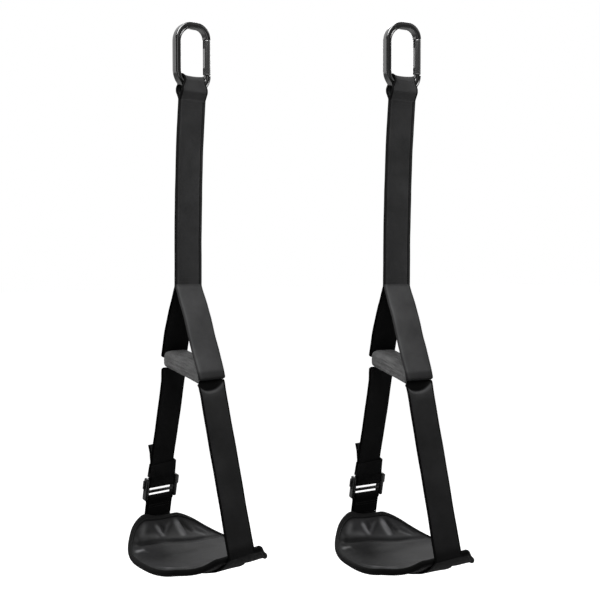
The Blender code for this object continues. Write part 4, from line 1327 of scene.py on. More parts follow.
@dataclass(frozen=True)
class Grip:
    """The padded hand grip between the legs, its front end hanging lower than its rear."""

    shop: Shop
    length: float = 0.1003
    shift: float = 0.0027
    width: float = 0.0486
    height: float = 0.0300
    middle_z: float = -0.5486
    tilt: float = 0.20
    power: float = 5.2
    end_slope: float = 0.27
    roll: float = 0.0018
    recess: float = 0.004
    mouth: float = 0.010
    run_drop: float = 0.0078
    run_width: float = 0.028
    fold_depth: float = 0.0005
    fold_room: float = 0.0006
    sides: int = 144
    rings: int = 72

    def mouth_y(self, sign: int) -> float:
        """Where the webbing leaves the grip's end."""
        return self.length / 2 + sign * self.shift

    def run_z(self, y: Array | float) -> Array | float:
        """The height of the webbing's run through the grip."""
        return self.middle_z - self.run_drop + self.tilt * y

    def cover(self) -> Shell:
        """The padded cover: a fat oval carried along Y, rolled in at both ends.

        The oval's radius is (|cos|^p + |sin|^p)^(-1/p).  At each end its skin turns in on a quarter circle
        and runs on to the mouth.  Its slanting folds are sines of the turn whose phase drifts along it.

        Returns:
            The cover.
        """
        turns = np.linspace(-QUARTER, 3 * QUARTER, self.sides, endpoint=False)[None]
        c, s = np.cos(turns), np.sin(turns)
        fat = (np.abs(c) ** self.power + np.abs(s) ** self.power) ** (-1 / self.power)
        bend = np.linspace(0, QUARTER, 8)
        deeper = np.linspace(0, 1, 6)[1:]
        roll = self.roll
        rolled = np.concatenate((roll * (1 - np.cos(bend)), roll + (self.mouth - roll) * deeper))
        past = np.concatenate((roll * np.sin(bend), roll - self.recess * deeper))
        ends, flat = np.ones(len(past)), np.zeros(self.rings - 2)
        shares = np.concatenate((-ends, np.linspace(-1, 1, self.rings)[1:-1], ends))[:, None]
        inset = np.concatenate((rolled[::-1], flat, rolled))[:, None]
        out = np.concatenate((past[::-1], flat, past))[:, None]
        folds = 0.5 * np.sin(9 * turns + 2.6 * shares) + 0.5 * np.sin(15 * turns - 3.4 * shares + 1.0)
        folds += 0.45 * np.sin(26 * turns + 6.0 * shares + 0.5) * np.cos(1.7 * shares + 0.4)
        folds *= self.fold_depth * (1 - 0.6 * shares**2)
        x = (self.width / 2 - self.fold_room - inset + folds) * fat * c
        z = (self.height / 2 - self.fold_room - inset * 0.8 + folds) * fat * s
        edge = self.length / 2 - roll - self.end_slope * np.maximum(0.0, z)
        y = self.shift + shares * edge + np.sign(shares) * out
        girth = math.pi * (self.width + self.height) / 2
        lie = stacked(turns / (2 * math.pi) * girth, y)
        return tube(stacked(x, y, self.middle_z + z + self.tilt * y), lie)

    def core_webbing(self) -> Shell:
        """The folded webbing that runs through the grip, two layers deep."""
        web = self.shop.webbing
        y = self.shift + np.linspace(-1, 1, 20) * (self.length / 2 - 0.0043)
        paths = [stacked(y, self.run_z(y) + sign * web.layer) for sign in (-1, 1)]
        return joined([web.ribbon(path, self.run_width) for path in paths])

    def build(self) -> None:
        """Make the cover and the webbing in it."""
        shop = self.shop
        hidden = ("grip_cover", "grip_core")
        cover = shop.piece("grip_padding", self.cover(), "strap", KnitFinish(), *hidden, slot="grip_fabric")
        # The run takes the lower legs' painted tone, darker than the strap above.
        shop.piece("grip_run", self.core_webbing(), "strap", WovenFinish(Weave.LOWER), "grip_webbing")


@dataclass(frozen=True)
class Legs:
    """The webbing from the fork to the grip, and from the grip down to the pad."""

    shop: Shop
    pad: "Pad"
    grip: Grip
    fork_z: float = -0.4132
    front_y: float = 0.0534
    rear_y: float = 0.0552
    deep: float = 0.004
    upper_radius: float = 0.0034
    lower_radius: float = 0.0050
    rear_radius: float = 0.0012
    step: float = 0.0012
    drawn_in: Pair = (0.020, 0.132)
    rear_rise: float = 0.0086
    rear_fall: float = 0.0070
    rear_end: float = 0.185
    folded: float = 0.040
    gather: float = 0.0040
    foot_row: float = -0.0911
    front_twist: float = 0.0012
    rear_twist: float = 0.0034
    front_aside: float = 0.0032
    rear_bow: float = 0.0022
    fold_drop: float = 0.0026
    slump: float = 0.0018
    mouth_dip: float = 0.0135
    mouth_tilt: float = 0.0030
    dip_reach: float = 0.016
    rim_fade: float = 0.070

    def corner(self, sign: int) -> float:
        """How far out the leg turns at the grip."""
        return self.front_y if sign < 0 else self.rear_y

    def inner_spot(self, sign: int, offset: float) -> Pair:
        """Where a leg ends inside the grip's mouth, at an offset from the run through the grip."""
        y = sign * (self.grip.mouth_y(sign) - self.deep)
        return y, self.grip.run_z(y) + offset

    def gathered(self, path: Array, inner_first: bool) -> Array:
        """Webbing widths: drawn in inside the grip's mouth, and full a little way outside it.

        Args:
            path: The leg's middle line.
            inner_first: Whether it starts inside the grip, rather than ending there.

        Returns:
            The width at each point.
        """
        inward = path_lengths(path)
        away = inward if inner_first else inward[-1] - inward
        share = eased((away - self.deep) / self.gather)
        return self.folded + (self.shop.webbing.width - self.folded) * share

    def twisted(self, path: Array, amount: float, top: float, foot: float, fade: float = 0.04) -> Array:
        """The lift of a leg that is turned about its length: in proportion to the share across it.

        Args:
            path: The leg's middle line.
            amount: The lift at a selvedge.
            top: The height above which there is none.
            foot: The height below which there is none.
            fade: Over what height it comes in.

        Returns:
            The lift at even places across each point.
        """
        z = path[:, 1]
        ease = eased((top - z) / fade) * eased((z - foot) / fade)
        return amount * ease[:, None] * ACROSS[None]

    def upper(self, sign: int) -> Shell:
        """An upper leg: from the fork out to the grip's corner, and in at the grip's mouth.

        Args:
            sign: -1 for the front leg, 1 for the rear one.

        Returns:
            The leg's webbing.
        """
        web, drift = self.shop.webbing, self.shop.drift
        front = sign < 0
        above = web.layer if front else web.layer + self.rear_rise
        low = self.grip.run_z(sign * self.corner(sign)) + above - (self.fold_drop if front else 0.0)
        start_y = drift.back(self.fork_z) + sign * web.layer
        corners = [
            (start_y, self.fork_z),
            (start_y, self.fork_z - 0.003),
            (sign * self.corner(sign), low),
            self.inner_spot(sign, above),
        ]
        path = turned_path(corners, self.upper_radius if front else self.rear_radius, self.step)
        lift = ripple(path, 0.0003, 0.11, 0.4 + sign)
        down = np.clip((self.fork_z - path[:, 1]) / (self.fork_z - low), 0, 1)
        aside = drift.aside(path[:, 1])
        if front:
            lift += self.twisted(path, self.front_twist, self.fork_z, low)
            aside += self.front_aside * eased(down / 0.4)
        else:
            aside -= self.rear_bow * np.sin(math.pi * down)
        return web.ribbon(path, self.gathered(path, False), aside, lift, start=0.4)

    def dip(self, path: Array) -> Array:
        """How the front lower leg's middle sinks where it leaves the grip, while its selvedges curl up.

        The sink is (depth (1 - |across|^2.4) - tilt across) exp(-(distance below / reach)^2).

        Args:
            path: The leg's middle line.

        Returns:
            The sink at even places across each point.
        """
        mouth = self.grip.mouth_y(-1)
        below = np.maximum(0.0, self.grip.run_z(-mouth) - self.slump - path[:, 1])
        out = eased((-path[:, 0] - mouth + 0.001) / 0.004)
        near = (out * np.exp(-((below / self.dip_reach) ** 2)))[:, None]
        return near * (self.mouth_dip * (1 - np.abs(ACROSS[None]) ** 2.4) - self.mouth_tilt * ACROSS[None])

    def front(self) -> Shell:
        """The front lower leg: out of the grip, down to the pad's rim and under the pad's front.

        Where the pad's end droops to one side, the webbing sinks with it, and this fades up the leg.

        Returns:
            The leg's webbing.
        """
        web, pad = self.shop.webbing, self.pad
        rim = pad.under_spots(np.array([-pad.half_length]), pad.rim_reach)[0]
        low = self.grip.run_z(-self.front_y) - web.layer - self.slump
        corners = [self.inner_spot(-1, -web.layer), (-self.front_y, low), tuple(rim)]
        head = turned_path(corners, self.lower_radius, self.step)
        foot = pad.under_spots(np.linspace(-pad.half_length, self.foot_row, 14)[1:])
        path = even_steps(np.concatenate((head, foot)), 0.0018)
        z = path[:, 1]
        near_rim = eased(1 - (z - rim[1]) / self.rim_fade)[:, None]
        sink = self.dip(path) + pad.webbing_droop(path) * near_rim
        widths = self.gathered(path, True)
        return web.ribbon(path, widths, self.shop.drift.aside(z), ripple(path, 0.0003, 0.17, 2.0), 0.7, sink)

    def rear(self) -> Shell:
        """The rear lower leg: out of the grip and down to the adjuster.

        Returns:
            The leg's webbing.
        """
        web, leg = self.shop.webbing, self.pad.leg
        below = web.layer + self.rear_fall
        low = self.grip.run_z(self.rear_y) - below
        end = leg.along(self.rear_end)
        path = turned_path([self.inner_spot(1, -below), (self.rear_y, low), end], self.rear_radius, self.step)
        z = path[:, 1]
        lift = ripple(path, 0.00025, 0.15, 3.0)
        lift -= self.twisted(path, self.rear_twist, low - 0.002, end[1] - 0.03, 0.022)
        share = eased((low - z) / (low - end[1]))
        aside = self.shop.drift.aside(z) * (1 - share) + leg.shift * share
        return web.ribbon(path, self.gathered(path, True), aside, lift, start=0.7)

    def build(self) -> None:
        """Make the four legs, and bake the rear lower one's place into its mesh."""
        shop, leg = self.shop, self.pad.leg
        # Painted shade where the front upper leg curves under into the grip; its tone is painted lighter as
        # it faces up to the light, and the lean paints one side lighter.
        wear = ((0.40, 1.0), (0.546, 1.0), (0.551, 0.50), (0.560, 0.33), (0.566, 0.08))
        outer = WovenFinish(Weave.OUTER, Edges.PALE, wear, -0.14)
        shop.piece("front_upper_leg", self.upper(-1), "strap", outer, "upper_leg_front")
        # The rear upper leg is painted dark as it lies in shade.
        shop.piece("rear_upper_leg", self.upper(1), "strap", WovenFinish(Weave.DEEP), "upper_leg_rear")
        # Painted shade in the fold below the grip, a painted highlight on the curled rim, and painted shade
        # towards the foot under the pad.
        wear = (
            (0.700, 0.08), (0.7090, 0.10), (0.7120, 3.6), (0.7150, 3.0), (0.7200, 1.6), (0.74, 1.15),
            (0.80, 1.0), (0.93, 0.85), (0.966, 0.70), (0.976, 0.28), (1.0, 0.12),
        )
        lower = WovenFinish(Weave.LOWER, wear=wear)
        shop.piece("front_lower_leg", self.front(), "strap", lower, "lower_leg_front")
        # The rear lower leg is painted dark as it lies in shade.
        rear = shop.piece("rear_lower_leg", self.rear(), None, WovenFinish(Weave.SHADED), "lower_leg_rear")
        shop.follow(rear, *((0.0, *leg.along(drop)) for drop in self.drawn_in))


# Rear leg's frame

@dataclass(frozen=True)
class RearLeg:
    """The frame of the rear leg: X across it, N outwards and D down it from the grip."""

    start: Triple = (0.0, 0.0528, -0.55625)
    lean: float = 0.237286253
    length: float = 0.274483535
    aside: float = 0.005 / 0.271
    shift: float = -0.0036
    turn: float = math.radians(7.0)
    turn_end: float = 0.200
    turn_fade: float = 0.012

    def axes(self) -> Array:
        """Rows are the unit vectors across the leg, outwards and up it."""
        down = np.array((self.aside * math.cos(self.lean), math.sin(self.lean), -math.cos(self.lean)))
        up = -unit(down)
        across = unit(np.array((1.0, 0.0, 0.0)) - up * up[0])
        return np.stack((across, np.cross(up, across), up))

    def to_strap(self, points: Array) -> Array:
        """Turn points (across, outwards, up) into the strap's axes."""
        return points @ self.axes() + np.array(self.start)

    def along(self, distance: float) -> Pair:
        """The (y, z) point of the leg's middle line at a distance down it."""
        down = (math.sin(self.lean), -math.cos(self.lean))
        return self.start[1] + distance * down[0], self.start[2] + distance * down[1]

    def carried(self, shell: Shell) -> Shell:
        """A shell drawn in the leg's frame, in the strap's axes.

        Above the buckle the leg is turned a little about its length, x' = x cos a and n' = n + x sin a,
        where a eases from nothing at the buckle to the full turn.

        Args:
            shell: The shell, whose points are (across, outwards, up).

        Returns:
            The same shell where it hangs.
        """
        x, n, up = np.moveaxis(shell.points, -1, 0)
        angle = self.turn * eased((self.turn_end + up) / self.turn_fade)
        turned = stacked(x * np.cos(angle), n + x * np.sin(angle), up)
        return replace(shell, points=self.to_strap(turned))


@dataclass(frozen=True)
class Adjuster:
    """The rear leg's end: the webbing round the buckle, its tail, the keeper, the buckle and its anchor."""

    shop: Shop
    leg: RearLeg
    bar: float = 0.004
    bar_offset: float = 0.0059
    buckle_top: float = 0.198
    buckle_height: float = 0.0415
    rail_x: float = 0.0289
    rail_width: float = 0.0062
    rail_depth: float = 0.010
    lug: float = 0.0355
    lug_start: float = 0.0036
    lug_height: float = 0.0160
    web_x: Pair = (0.0222, 0.0196)
    web_half: float = 0.0100
    web_drop: float = 0.0285
    top_bar: Pair = (0.004, 0.0152)
    thin_bar: Pair = (0.0238, 0.0290)
    anchor_bar: Pair = (0.038, 0.0415)
    tooth: Triple = (0.0042, 0.0007, 0.0005)
    tooth_drop: float = 0.0096
    teeth: tuple[float, float, int] = (-0.0225, 0.0225, 13)
    overlap_top: float = 0.175
    tail_top: float = 0.1410
    tail_flare: float = 0.0140
    tail_curl: float = 0.0012
    tail_free: float = 0.022
    keeper_top: float = 0.170
    keeper_height: float = 0.024
    keeper_thickness: float = 0.0011
    seam_inset: float = 0.005
    seam_drops: Pair = (0.2495, 0.2535)

    @property
    def wrap(self) -> float:
        """How far the middle of webbing that is folded round a bar lies from the bar's middle."""
        web = self.shop.webbing
        return self.bar / 2 + web.gap + web.thickness / 2

    def webbing_path(self) -> Array:
        """Down inside the leg, round the top bar, and back up as the tail.

        Returns:
            The path's points in the leg's plane (outwards, up).
        """
        web = self.shop.webbing
        inner = web.thickness + web.gap
        tail = 2 * inner
        outer = self.bar_offset + self.wrap
        low = -(self.buckle_top + self.top_bar[1])
        fold = arc((self.bar_offset, low), self.wrap, math.pi, 2 * math.pi, 16)[1:-1]
        back = [
            (outer, low),
            (outer, -(self.buckle_top + self.top_bar[0] - 0.0003)),
            (tail, -(self.keeper_top + self.keeper_height + 0.0015)),
            (tail + 0.0006, -(self.keeper_top - 0.004)),
            (tail + self.tail_flare * 0.42, -self.tail_top - 0.011),
            (tail + self.tail_flare, -self.tail_top),
        ]
        down = [(inner, -self.overlap_top), (inner, low)]
        return even_steps(np.concatenate((turned_path(down, 0.003), fold, turned_path(back, 0.004))), 0.0014)

    def folded_webbing(self) -> Shell:
        """The adjuster's webbing, whose tail curls a little at its free end.

        Returns:
            The webbing where it hangs.
        """
        path = self.webbing_path()
        s = path_lengths(path)
        free = eased((s - s[-1] + self.tail_free) / self.tail_free)
        lift = -self.tail_curl * free[:, None] * np.linspace(-1, 1, 5)[None] ** 2
        aside = self.leg.shift * eased((path[:, 1] + self.buckle_top + 0.002) / 0.022)
        return self.leg.carried(self.shop.webbing.ribbon(path, None, aside, lift, start=1.0))

    def anchor(self) -> Shell:
        """The webbing from the pad's rim up behind the anchor bar, over it and down in front.

        Returns:
            The webbing where it hangs.
        """
        web = self.shop.webbing
        top = -(self.buckle_top + self.anchor_bar[0])
        bottom = -(self.buckle_top + self.buckle_height)
        side = [
            (self.bar_offset - web.layer, -self.leg.length + 0.004),
            (self.bar_offset - web.layer, bottom - self.wrap - web.thickness),
            (self.bar_offset - self.wrap, bottom - 0.0003),
            (self.bar_offset - self.wrap, top),
        ]
        up = turned_path(side, 0.003, 0.0011)
        over = arc((self.bar_offset, top), self.wrap, math.pi, 0, 16)[1:-1]
        path = np.concatenate((up, over, up[::-1] * (-1, 1) + (2 * self.bar_offset, 0)))
        return self.leg.carried(web.ribbon(path, start=2.0))

    def keeper(self) -> Shell:
        """A flat elastic band round the leg and its tail: a round-cornered outline with a thin section.

        Returns:
            The band where it hangs.
        """
        web = self.shop.webbing
        low, high = -web.thickness / 2 - web.gap, 2.5 * web.thickness + 3 * web.gap
        grow = self.keeper_thickness / 2
        outline = rounded_outline((web.width / 2 + web.gap + grow, (high - low) / 2 + grow), 0.0013, 5)
        outward = turned_right(np.roll(outline, -1, axis=0) - np.roll(outline, 1, axis=0))
        section = rounded_outline((self.keeper_height / 2, grow), grow * 0.8, 3)
        flat = outline[:, None] + outward[:, None] * section[None, :, 1:]
        height = section[None, :, 0]
        up = -(self.keeper_top + self.keeper_height / 2)
        points = stacked(flat[..., 0] + 0.9 * self.leg.shift, flat[..., 1] + (low + high) / 2, height + up)
        return self.leg.carried(tube(points, stacked(height, path_lengths(outline)[:, None]), loop=True))

    def crossbar(self, span: Pair) -> Shell:
        """A bar of the buckle along X, between two drops below the buckle's top."""
        half = (self.rail_x - 0.001, (span[1] - span[0]) / 2, self.bar / 2)
        centre = (0.0, self.bar_offset, -self.buckle_top - (span[0] + span[1]) / 2)
        return moved(rounded_bar(half, 0.0012, 0.0008), centre, (0, 2, 1))

    def block(
        self, half: Triple, spot: Pair, radius: float, edge: float, steps: int, out: float = 0.0
    ) -> Shell:
        """An upright block, from half its height, width and depth and its middle's place aside and down."""
        centre = (spot[0], self.bar_offset + out, -self.buckle_top - spot[1])
        return moved(rounded_bar(half, radius, edge, steps), centre, (1, 2, 0))

    def buckle(self) -> Shell:
        """Two deep side rails with lugs and inner webs, joined by three bars, the top one toothed.

        Returns:
            The buckle where it hangs.
        """
        shells = [self.crossbar(span) for span in (self.top_bar, self.thin_bar, self.anchor_bar)]
        rail = (self.buckle_height / 2 - 0.0004, self.rail_width / 2 - 0.0003, self.rail_depth / 2)
        half = (self.lug - self.rail_x) / 2 + 0.0005
        lug_end = self.lug_start + self.lug_height
        for side, start in zip((-1, 1), self.web_x):
            shells.append(self.block(rail, (side * self.rail_x, self.buckle_height / 2), 0.0016, 0.0022, 6))
            lug = (self.lug_height / 2, half, self.bar / 2)
            spot = (side * (self.lug - half), self.lug_start + self.lug_height / 2)
            shells.append(self.block(lug, spot, 0.0014, 0.0014, 5))
            wedge = (0.0035, half - 0.0008, self.bar / 2 - 0.0002)
            spot = (side * (self.lug - half - 0.0012), lug_end + 0.0010)
            shells.append(self.block(wedge, spot, 0.0012, 0.0012, 4))
            reach = (self.rail_x - start) / 2
            inner = (self.web_half, reach, self.bar / 2 - 0.0003)
            shells.append(self.block(inner, (side * (start + reach), self.web_drop), 0.0012, 0.0012, 4))
        out = -self.bar / 2 - 0.0001
        for x in np.linspace(*self.teeth):
            shells.append(self.block(self.tooth, (float(x), self.tooth_drop), 0.0004, 0.0004, 2, out))
        return self.leg.carried(joined(shells))

    def seams(self) -> Shell:
        """Rows of stitches across the anchor's two layers, on both faces.

        Returns:
            All the stitches where they hang.
        """
        web = self.shop.webbing
        half = web.width / 2 - self.seam_inset
        shells = []
        for drop in self.seam_drops:
            for sign in (1, -1):
                out = self.bar_offset + sign * (web.layer + web.thickness / 2)
                line = stacked(np.linspace(-half, half, 12), out, -drop)
                shells.append(Stitching().run(line, (0.0, sign, 0.0)))
        return self.leg.carried(joined(shells))

    def build(self) -> None:
        """Make the webbing, keeper, buckle and anchor."""
        shop = self.shop
        # Painted shade along the tail, with a painted highlight near its free end.
        wear = ((1.0, 0.5), (1.098, 0.5), (1.108, 1.9), (1.120, 1.5), (1.130, 0.9))
        tail = WovenFinish(Weave.LOWER, wear=wear)
        shop.piece("adjuster_tail", self.folded_webbing(), "adjuster", tail, "adjuster_webbing")
        # The anchor loop is painted dark as it lies in shade.
        shop.piece("anchor_loop", self.anchor(), "adjuster", WovenFinish(Weave.DEEP), "buckle_anchor")
        shop.piece("anchor_seams", self.seams(), "adjuster", SEWING_THREAD)
        name, slot = "ladder_buckle", "buckle_plastic"
        shop.piece(name, self.buckle(), "adjuster", BUCKLE_PLASTIC, "buckle_frame", slot=slot)
        # The keeper is painted dark as it lies in shade.
        shop.piece("keeper_band", self.keeper(), "keeper", WovenFinish(Weave.SHADED), "keeper")


# Arm pad

@dataclass(frozen=True)
class Stroke:
    """A line on the pad's cover, from one point (x, y) of the flat pad to another."""

    start: Pair
    end: Pair
    strength: float
    width: float

    def measure(self, x: Array, y: Array) -> tuple[Array, Array, float]:
        """Where points lie beside the stroke.

        Args:
            x: Their distances across the flat pad.
            y: Their distances along it.

        Returns:
            The share along the stroke, the distance off it, and the stroke's length.
        """
        run = np.subtract(self.end, self.start)
        length = float(np.linalg.norm(run))
        x, y = x - self.start[0], y - self.start[1]
        return (x * run[0] + y * run[1]) / length**2, (x * run[1] - y * run[0]) / length, length


class Crease(Stroke):
    """A fold in the cover, as deep as its strength, or a ridge where that is negative."""

    def height(self, x: Array, y: Array) -> Array:
        """A narrow valley with a raised lip on both sides, bowed a little, which fades out at both ends.

        With d the distance off the line in widths, it is strength (1.4 d^2 - 1) exp(-d^2), times the sine
        of the share along the line to the power 0.8.

        Args:
            x: Distances across the flat pad.
            y: Distances along it.

        Returns:
            The height at each point.
        """
        share, off, length = self.measure(x, y)
        arch = np.sin(math.pi * np.clip(share, 0, 1))
        d = (off - 0.12 * length * arch * math.copysign(0.5, self.strength)) / self.width
        return self.strength * (1.4 * d**2 - 1) * np.exp(-(d**2)) * arch**0.8


class Shine(Stroke):
    """A stroke of painted highlight on the pad's cover."""

    def amount(self, x: Array, y: Array) -> Array:
        """The strength times exp(-(distance from the stroke's middle stretch / width)^2)."""
        share, off, length = self.measure(x, y)
        past = (share - np.clip(share, 0.1, 0.9)) * length
        return self.strength * np.exp(-(off**2 + past**2) / self.width**2)


@dataclass(frozen=True)
class Pad:
    """The arm pad: a curved leather cushion, its backing, its bound edge and the webbing beneath."""

    shop: Shop
    leg: RearLeg
    half_length: float = 0.1185
    centre_y: float = -0.004
    spread_power: float = 0.9
    half_width: float = 0.106
    end_half_width: float = 0.0465
    side_power: float = 2.25
    corner: float = 0.018
    front_corner: float = 0.0045
    sag: float = 0.042
    curve_power: float = 2.9
    left_rise: float = 0.0075
    droop_shape: tuple[float, float, float, float] = (0.0020, -0.0040, 0.0058, 0.0002)
    bridge: float = 0.0040
    bridge_y: float = -0.072
    bridge_length: float = 0.030
    pinched: float = 0.0065
    pinch_y: float = -0.107
    pinch_length: float = 0.026
    droop_from: float = -0.064
    droop_to: float = -0.114
    tilt: float = 0.042
    end_drop: float = 0.8257
    middle_x: float = 0.00499
    skin: float = 0.0015
    foam_edge: float = 0.0038
    foam_middle: float = 0.009
    flat_edge: float = 0.009
    full_at: float = 0.045
    tape: float = 0.0016
    tape_cover: float = 0.0050
    tape_thickness: float = 0.0009
    tape_lift: float = 0.0007
    seam_reach: float = -0.0036
    rim_reach: float = 0.0038
    rim: float = 0.004
    rim_share: float = 0.35
    lift_end: float = 0.0031
    webbing_from: float = -0.0907
    follow_from: Triple = (0.005, -0.03, -0.86)
    follow_to: Triple = (0.005, 0.108, -0.83)
    rows: int = 130
    columns: int = 84
    # Painted highlights on the cover, as strokes.
    shines: tuple[Shine, ...] = (
        Shine((-0.034, 0.111), (-0.051, 0.098), 1.3, 0.0050),
        Shine((-0.0165, 0.106), (-0.0157, 0.084), 2.8, 0.0034),
        Shine((0.0245, 0.116), (0.0208, 0.076), 5.0, 0.0044),
        Shine((0.0440, 0.083), (0.0600, 0.070), 1.6, 0.0034),
        Shine((-0.0560, 0.091), (-0.0250, 0.087), 1.4, 0.0060),
        Shine((-0.0860, 0.055), (-0.0690, 0.0585), 5.0, 0.0030),
        Shine((-0.0820, -0.034), (-0.0560, -0.057), 1.2, 0.0052),
    )
    creases: tuple[Crease, ...] = (
        Crease((-0.088, 0.080), (-0.020, 0.0765), 0.0022, 0.0075),
        Crease((-0.040, 0.0775), (0.096, 0.060), 0.0020, 0.0080),
        Crease((-0.034, 0.116), (-0.056, 0.088), -0.0013, 0.0050),
        Crease((-0.0163, 0.117), (-0.0180, 0.080), -0.0019, 0.0042),
        Crease((-0.0150, 0.083), (0.0170, 0.110), -0.0017, 0.0040),
        Crease((-0.0030, 0.112), (-0.0060, 0.094), 0.0014, 0.0040),
        Crease((0.0240, 0.120), (0.0245, 0.074), -0.0026, 0.0046),
        Crease((0.0350, 0.112), (0.0420, 0.078), 0.0014, 0.0060),
        Crease((0.0540, 0.094), (0.0700, 0.070), -0.0013, 0.0056),
        Crease((-0.066, 0.094), (-0.078, 0.066), -0.0012, 0.0055),
        Crease((-0.0900, 0.062), (-0.0640, 0.046), -0.0012, 0.0050),
        Crease((-0.0930, -0.012), (-0.0640, -0.082), -0.0014, 0.0070),
        Crease((-0.0500, 0.030), (0.0500, 0.036), 0.0005, 0.0130),
        Crease((-0.060, -0.060), (0.052, -0.066), 0.0006, 0.0090),
    )

    def half_widths(self, y: Array) -> Array:
        """Half the pad's width: the middle's less a power of the length, and less r - sqrt(r^2 - d^2) in a
        corner of radius r, at a distance d into it.

        Args:
            y: Distances from the pad's middle.

        Returns:
            The half width at each.
        """
        t = np.clip(np.abs(y) / self.half_length, 0, 1) ** (1 / self.spread_power)
        full = self.half_width - (self.half_width - self.end_half_width) * t**self.side_power
        radius = np.where(y < 0, self.front_corner, self.corner)
        into = np.maximum(0.0, np.abs(y) - (self.half_length - radius))
        return full - radius + np.sqrt(np.maximum(0.0, radius**2 - into**2))

    def rise(self, across: Array) -> Array:
        """How far the left side is turned up: by the square of the share across."""
        return np.where(across < 0, self.left_rise, 0.0) * across**2

    def droop(self, y: Array, across: Array) -> Array:
        """How far the front end hangs down, most at its left corner.

        It is a + b across + c across^2, with c different on the left and the right, eased in along the
        pad, less height (1 - across^2)^2 exp(-(distance along / length)^2), by which the sling holds it up.

        Args:
            y: Distances from the pad's middle.
            across: Shares of the half width.

        Returns:
            The droop at each point.
        """
        a, b, left, right = self.droop_shape
        c = np.where(across < 0, left, right)
        held = self.bridge * (1 - across**2) ** 2 * np.exp(-(((y - self.bridge_y) / self.bridge_length) ** 2))
        share = eased((self.droop_from - y) / (self.droop_from - self.droop_to))
        return (a + b * across + c * across**2) * share - held

    def tuck(self, y: Array, across: Array) -> Array:
        """How far the right side is drawn in: exp(-(distance along / length)^2) times the share across^3."""
        pinch = self.pinched * np.exp(-(((y - self.pinch_y) / self.pinch_length) ** 2))
        return pinch * np.clip(across, 0, 1) ** 3

    def webbing_droop(self, path: Array) -> Array:
        """How far webbing that lies against the pad sinks beside its middle.

        Args:
            path: The webbing's middle line.

        Returns:
            The sink at even places across each point.
        """
        y = np.clip(path[:, 0] - self.centre_y, -self.half_length, 0.0)[:, None]
        across = ACROSS[None] * self.shop.webbing.width / 2 / self.half_widths(y)
        middle = np.zeros_like(across)
        sink = self.droop(y, across) - self.droop(y, middle) - self.rise(across)
        return sink + self.foam_half(y, across) - self.foam_half(y, middle)

    def spot(self, y: Array, across: Array, offset: Array | float, beyond: Array | float = 0.0) -> Array:
        """A point of the pad moved along the pad's normal, and beyond its ends.

        The height is -drop - sag (1 - |y / half|^p) + tilt y, plus the left side's rise, less the droop.

        Args:
            y: Distance from the pad's middle.
            across: Share of the half width, from -1 to 1.
            offset: How far to move off the surface, upwards.
            beyond: How far to move past the end, along the surface.

        Returns:
            Points (x, y, z), whose x is the share across times the half width.
        """
        share = np.clip(np.abs(y) / self.half_length, 0, 1)
        power = self.curve_power / self.spread_power
        level = self.tilt * y - self.end_drop - self.sag * (1 - share**power)
        slope = np.sign(y) * self.sag * power * share ** (power - 1) / self.half_length + self.tilt
        scale = np.sqrt(1 + slope**2)
        past = np.sign(y) * beyond
        x = self.middle_x + across * self.half_widths(y) - self.tuck(y, across)
        z = level + self.rise(across) - self.droop(y, across) + (offset + slope * past) / scale
        return stacked(x, self.centre_y + y + (past - slope * offset) / scale, z)

    def inside(self, y: Array, across: Array) -> Array:
        """The distance in from the pad's outline."""
        return np.minimum((1 - np.abs(across)) * self.half_widths(y), self.half_length - np.abs(y))

    def foam_half(self, y: Array, across: Array) -> Array:
        """Half the foam's thickness: thin at the edge, full in the middle."""
        share = eased((self.inside(y, across) - self.flat_edge) / (self.full_at - self.flat_edge))
        return (self.foam_edge + (self.foam_middle - self.foam_edge) * share) / 2

    def fullness(self, y: Array, across: Array) -> Array:
        """The share of the thickness that is left by the round rim: a square root of the distance in."""
        inside = np.clip(self.inside(y, across) / self.rim, 0.0, 1.0)
        return self.rim_share + (1 - self.rim_share) * np.sqrt(inside)

    def under_spots(self, y: Array, beyond: float = 0.0) -> Array:
        """The middle of the webbing beneath the pad.

        Args:
            y: Distances from the pad's middle.
            beyond: How far past the pad's end.

        Returns:
            Points (y, z).
        """
        web = self.shop.webbing
        middle = np.zeros_like(y)
        below = self.foam_half(y, middle) + self.skin + self.tape + web.gap + web.thickness / 2
        return self.spot(y, middle, -below, beyond)[:, 1:]

    def grid(self) -> tuple[Array, Array]:
        """Distances along and shares across, crowded towards the edges by powers of the distance in."""
        along, across = (np.linspace(-1, 1, count) for count in (self.rows, self.columns))
        y = self.half_length * np.sign(along) * (1 - (1 - np.abs(along)) ** 1.6)
        return np.meshgrid(y, np.sign(across) * (1 - (1 - np.abs(across)) ** 1.3), indexing="ij")

    def cushion(self) -> Shell:
        """The leather cushion: full in the middle, thin at the bound edge, and creased.

        Returns:
            The cushion, with the painted light and shade on its top.
        """
        y, across = self.grid()
        x = across * self.half_widths(y)
        rim, foam = self.fullness(y, across), self.foam_half(y, across)
        folds = sum(crease.height(x, y) for crease in self.creases)
        slack = 0.0005 * np.sin(37 * x + 21 * y + 1.0) * np.sin(29 * y - 13 * x)
        slack += 0.0003 * np.sin(95 * x - 60 * y) * np.sin(70 * y + 45 * x + 2.0)
        ease = eased((self.inside(y, across) - 0.005) / 0.012)
        top = self.spot(y, across, (foam + self.skin) * rim + (folds + slack) * ease)
        # Painted light and shade on the top face; none on the bottom.
        rub = self.rubbed(x, y, folds) * ease
        rub = np.concatenate((rub, np.zeros_like(rub)), axis=1)
        return replace(slab(top, self.spot(y, across, -foam * rim), stacked(x, y)), rub=rub.ravel())

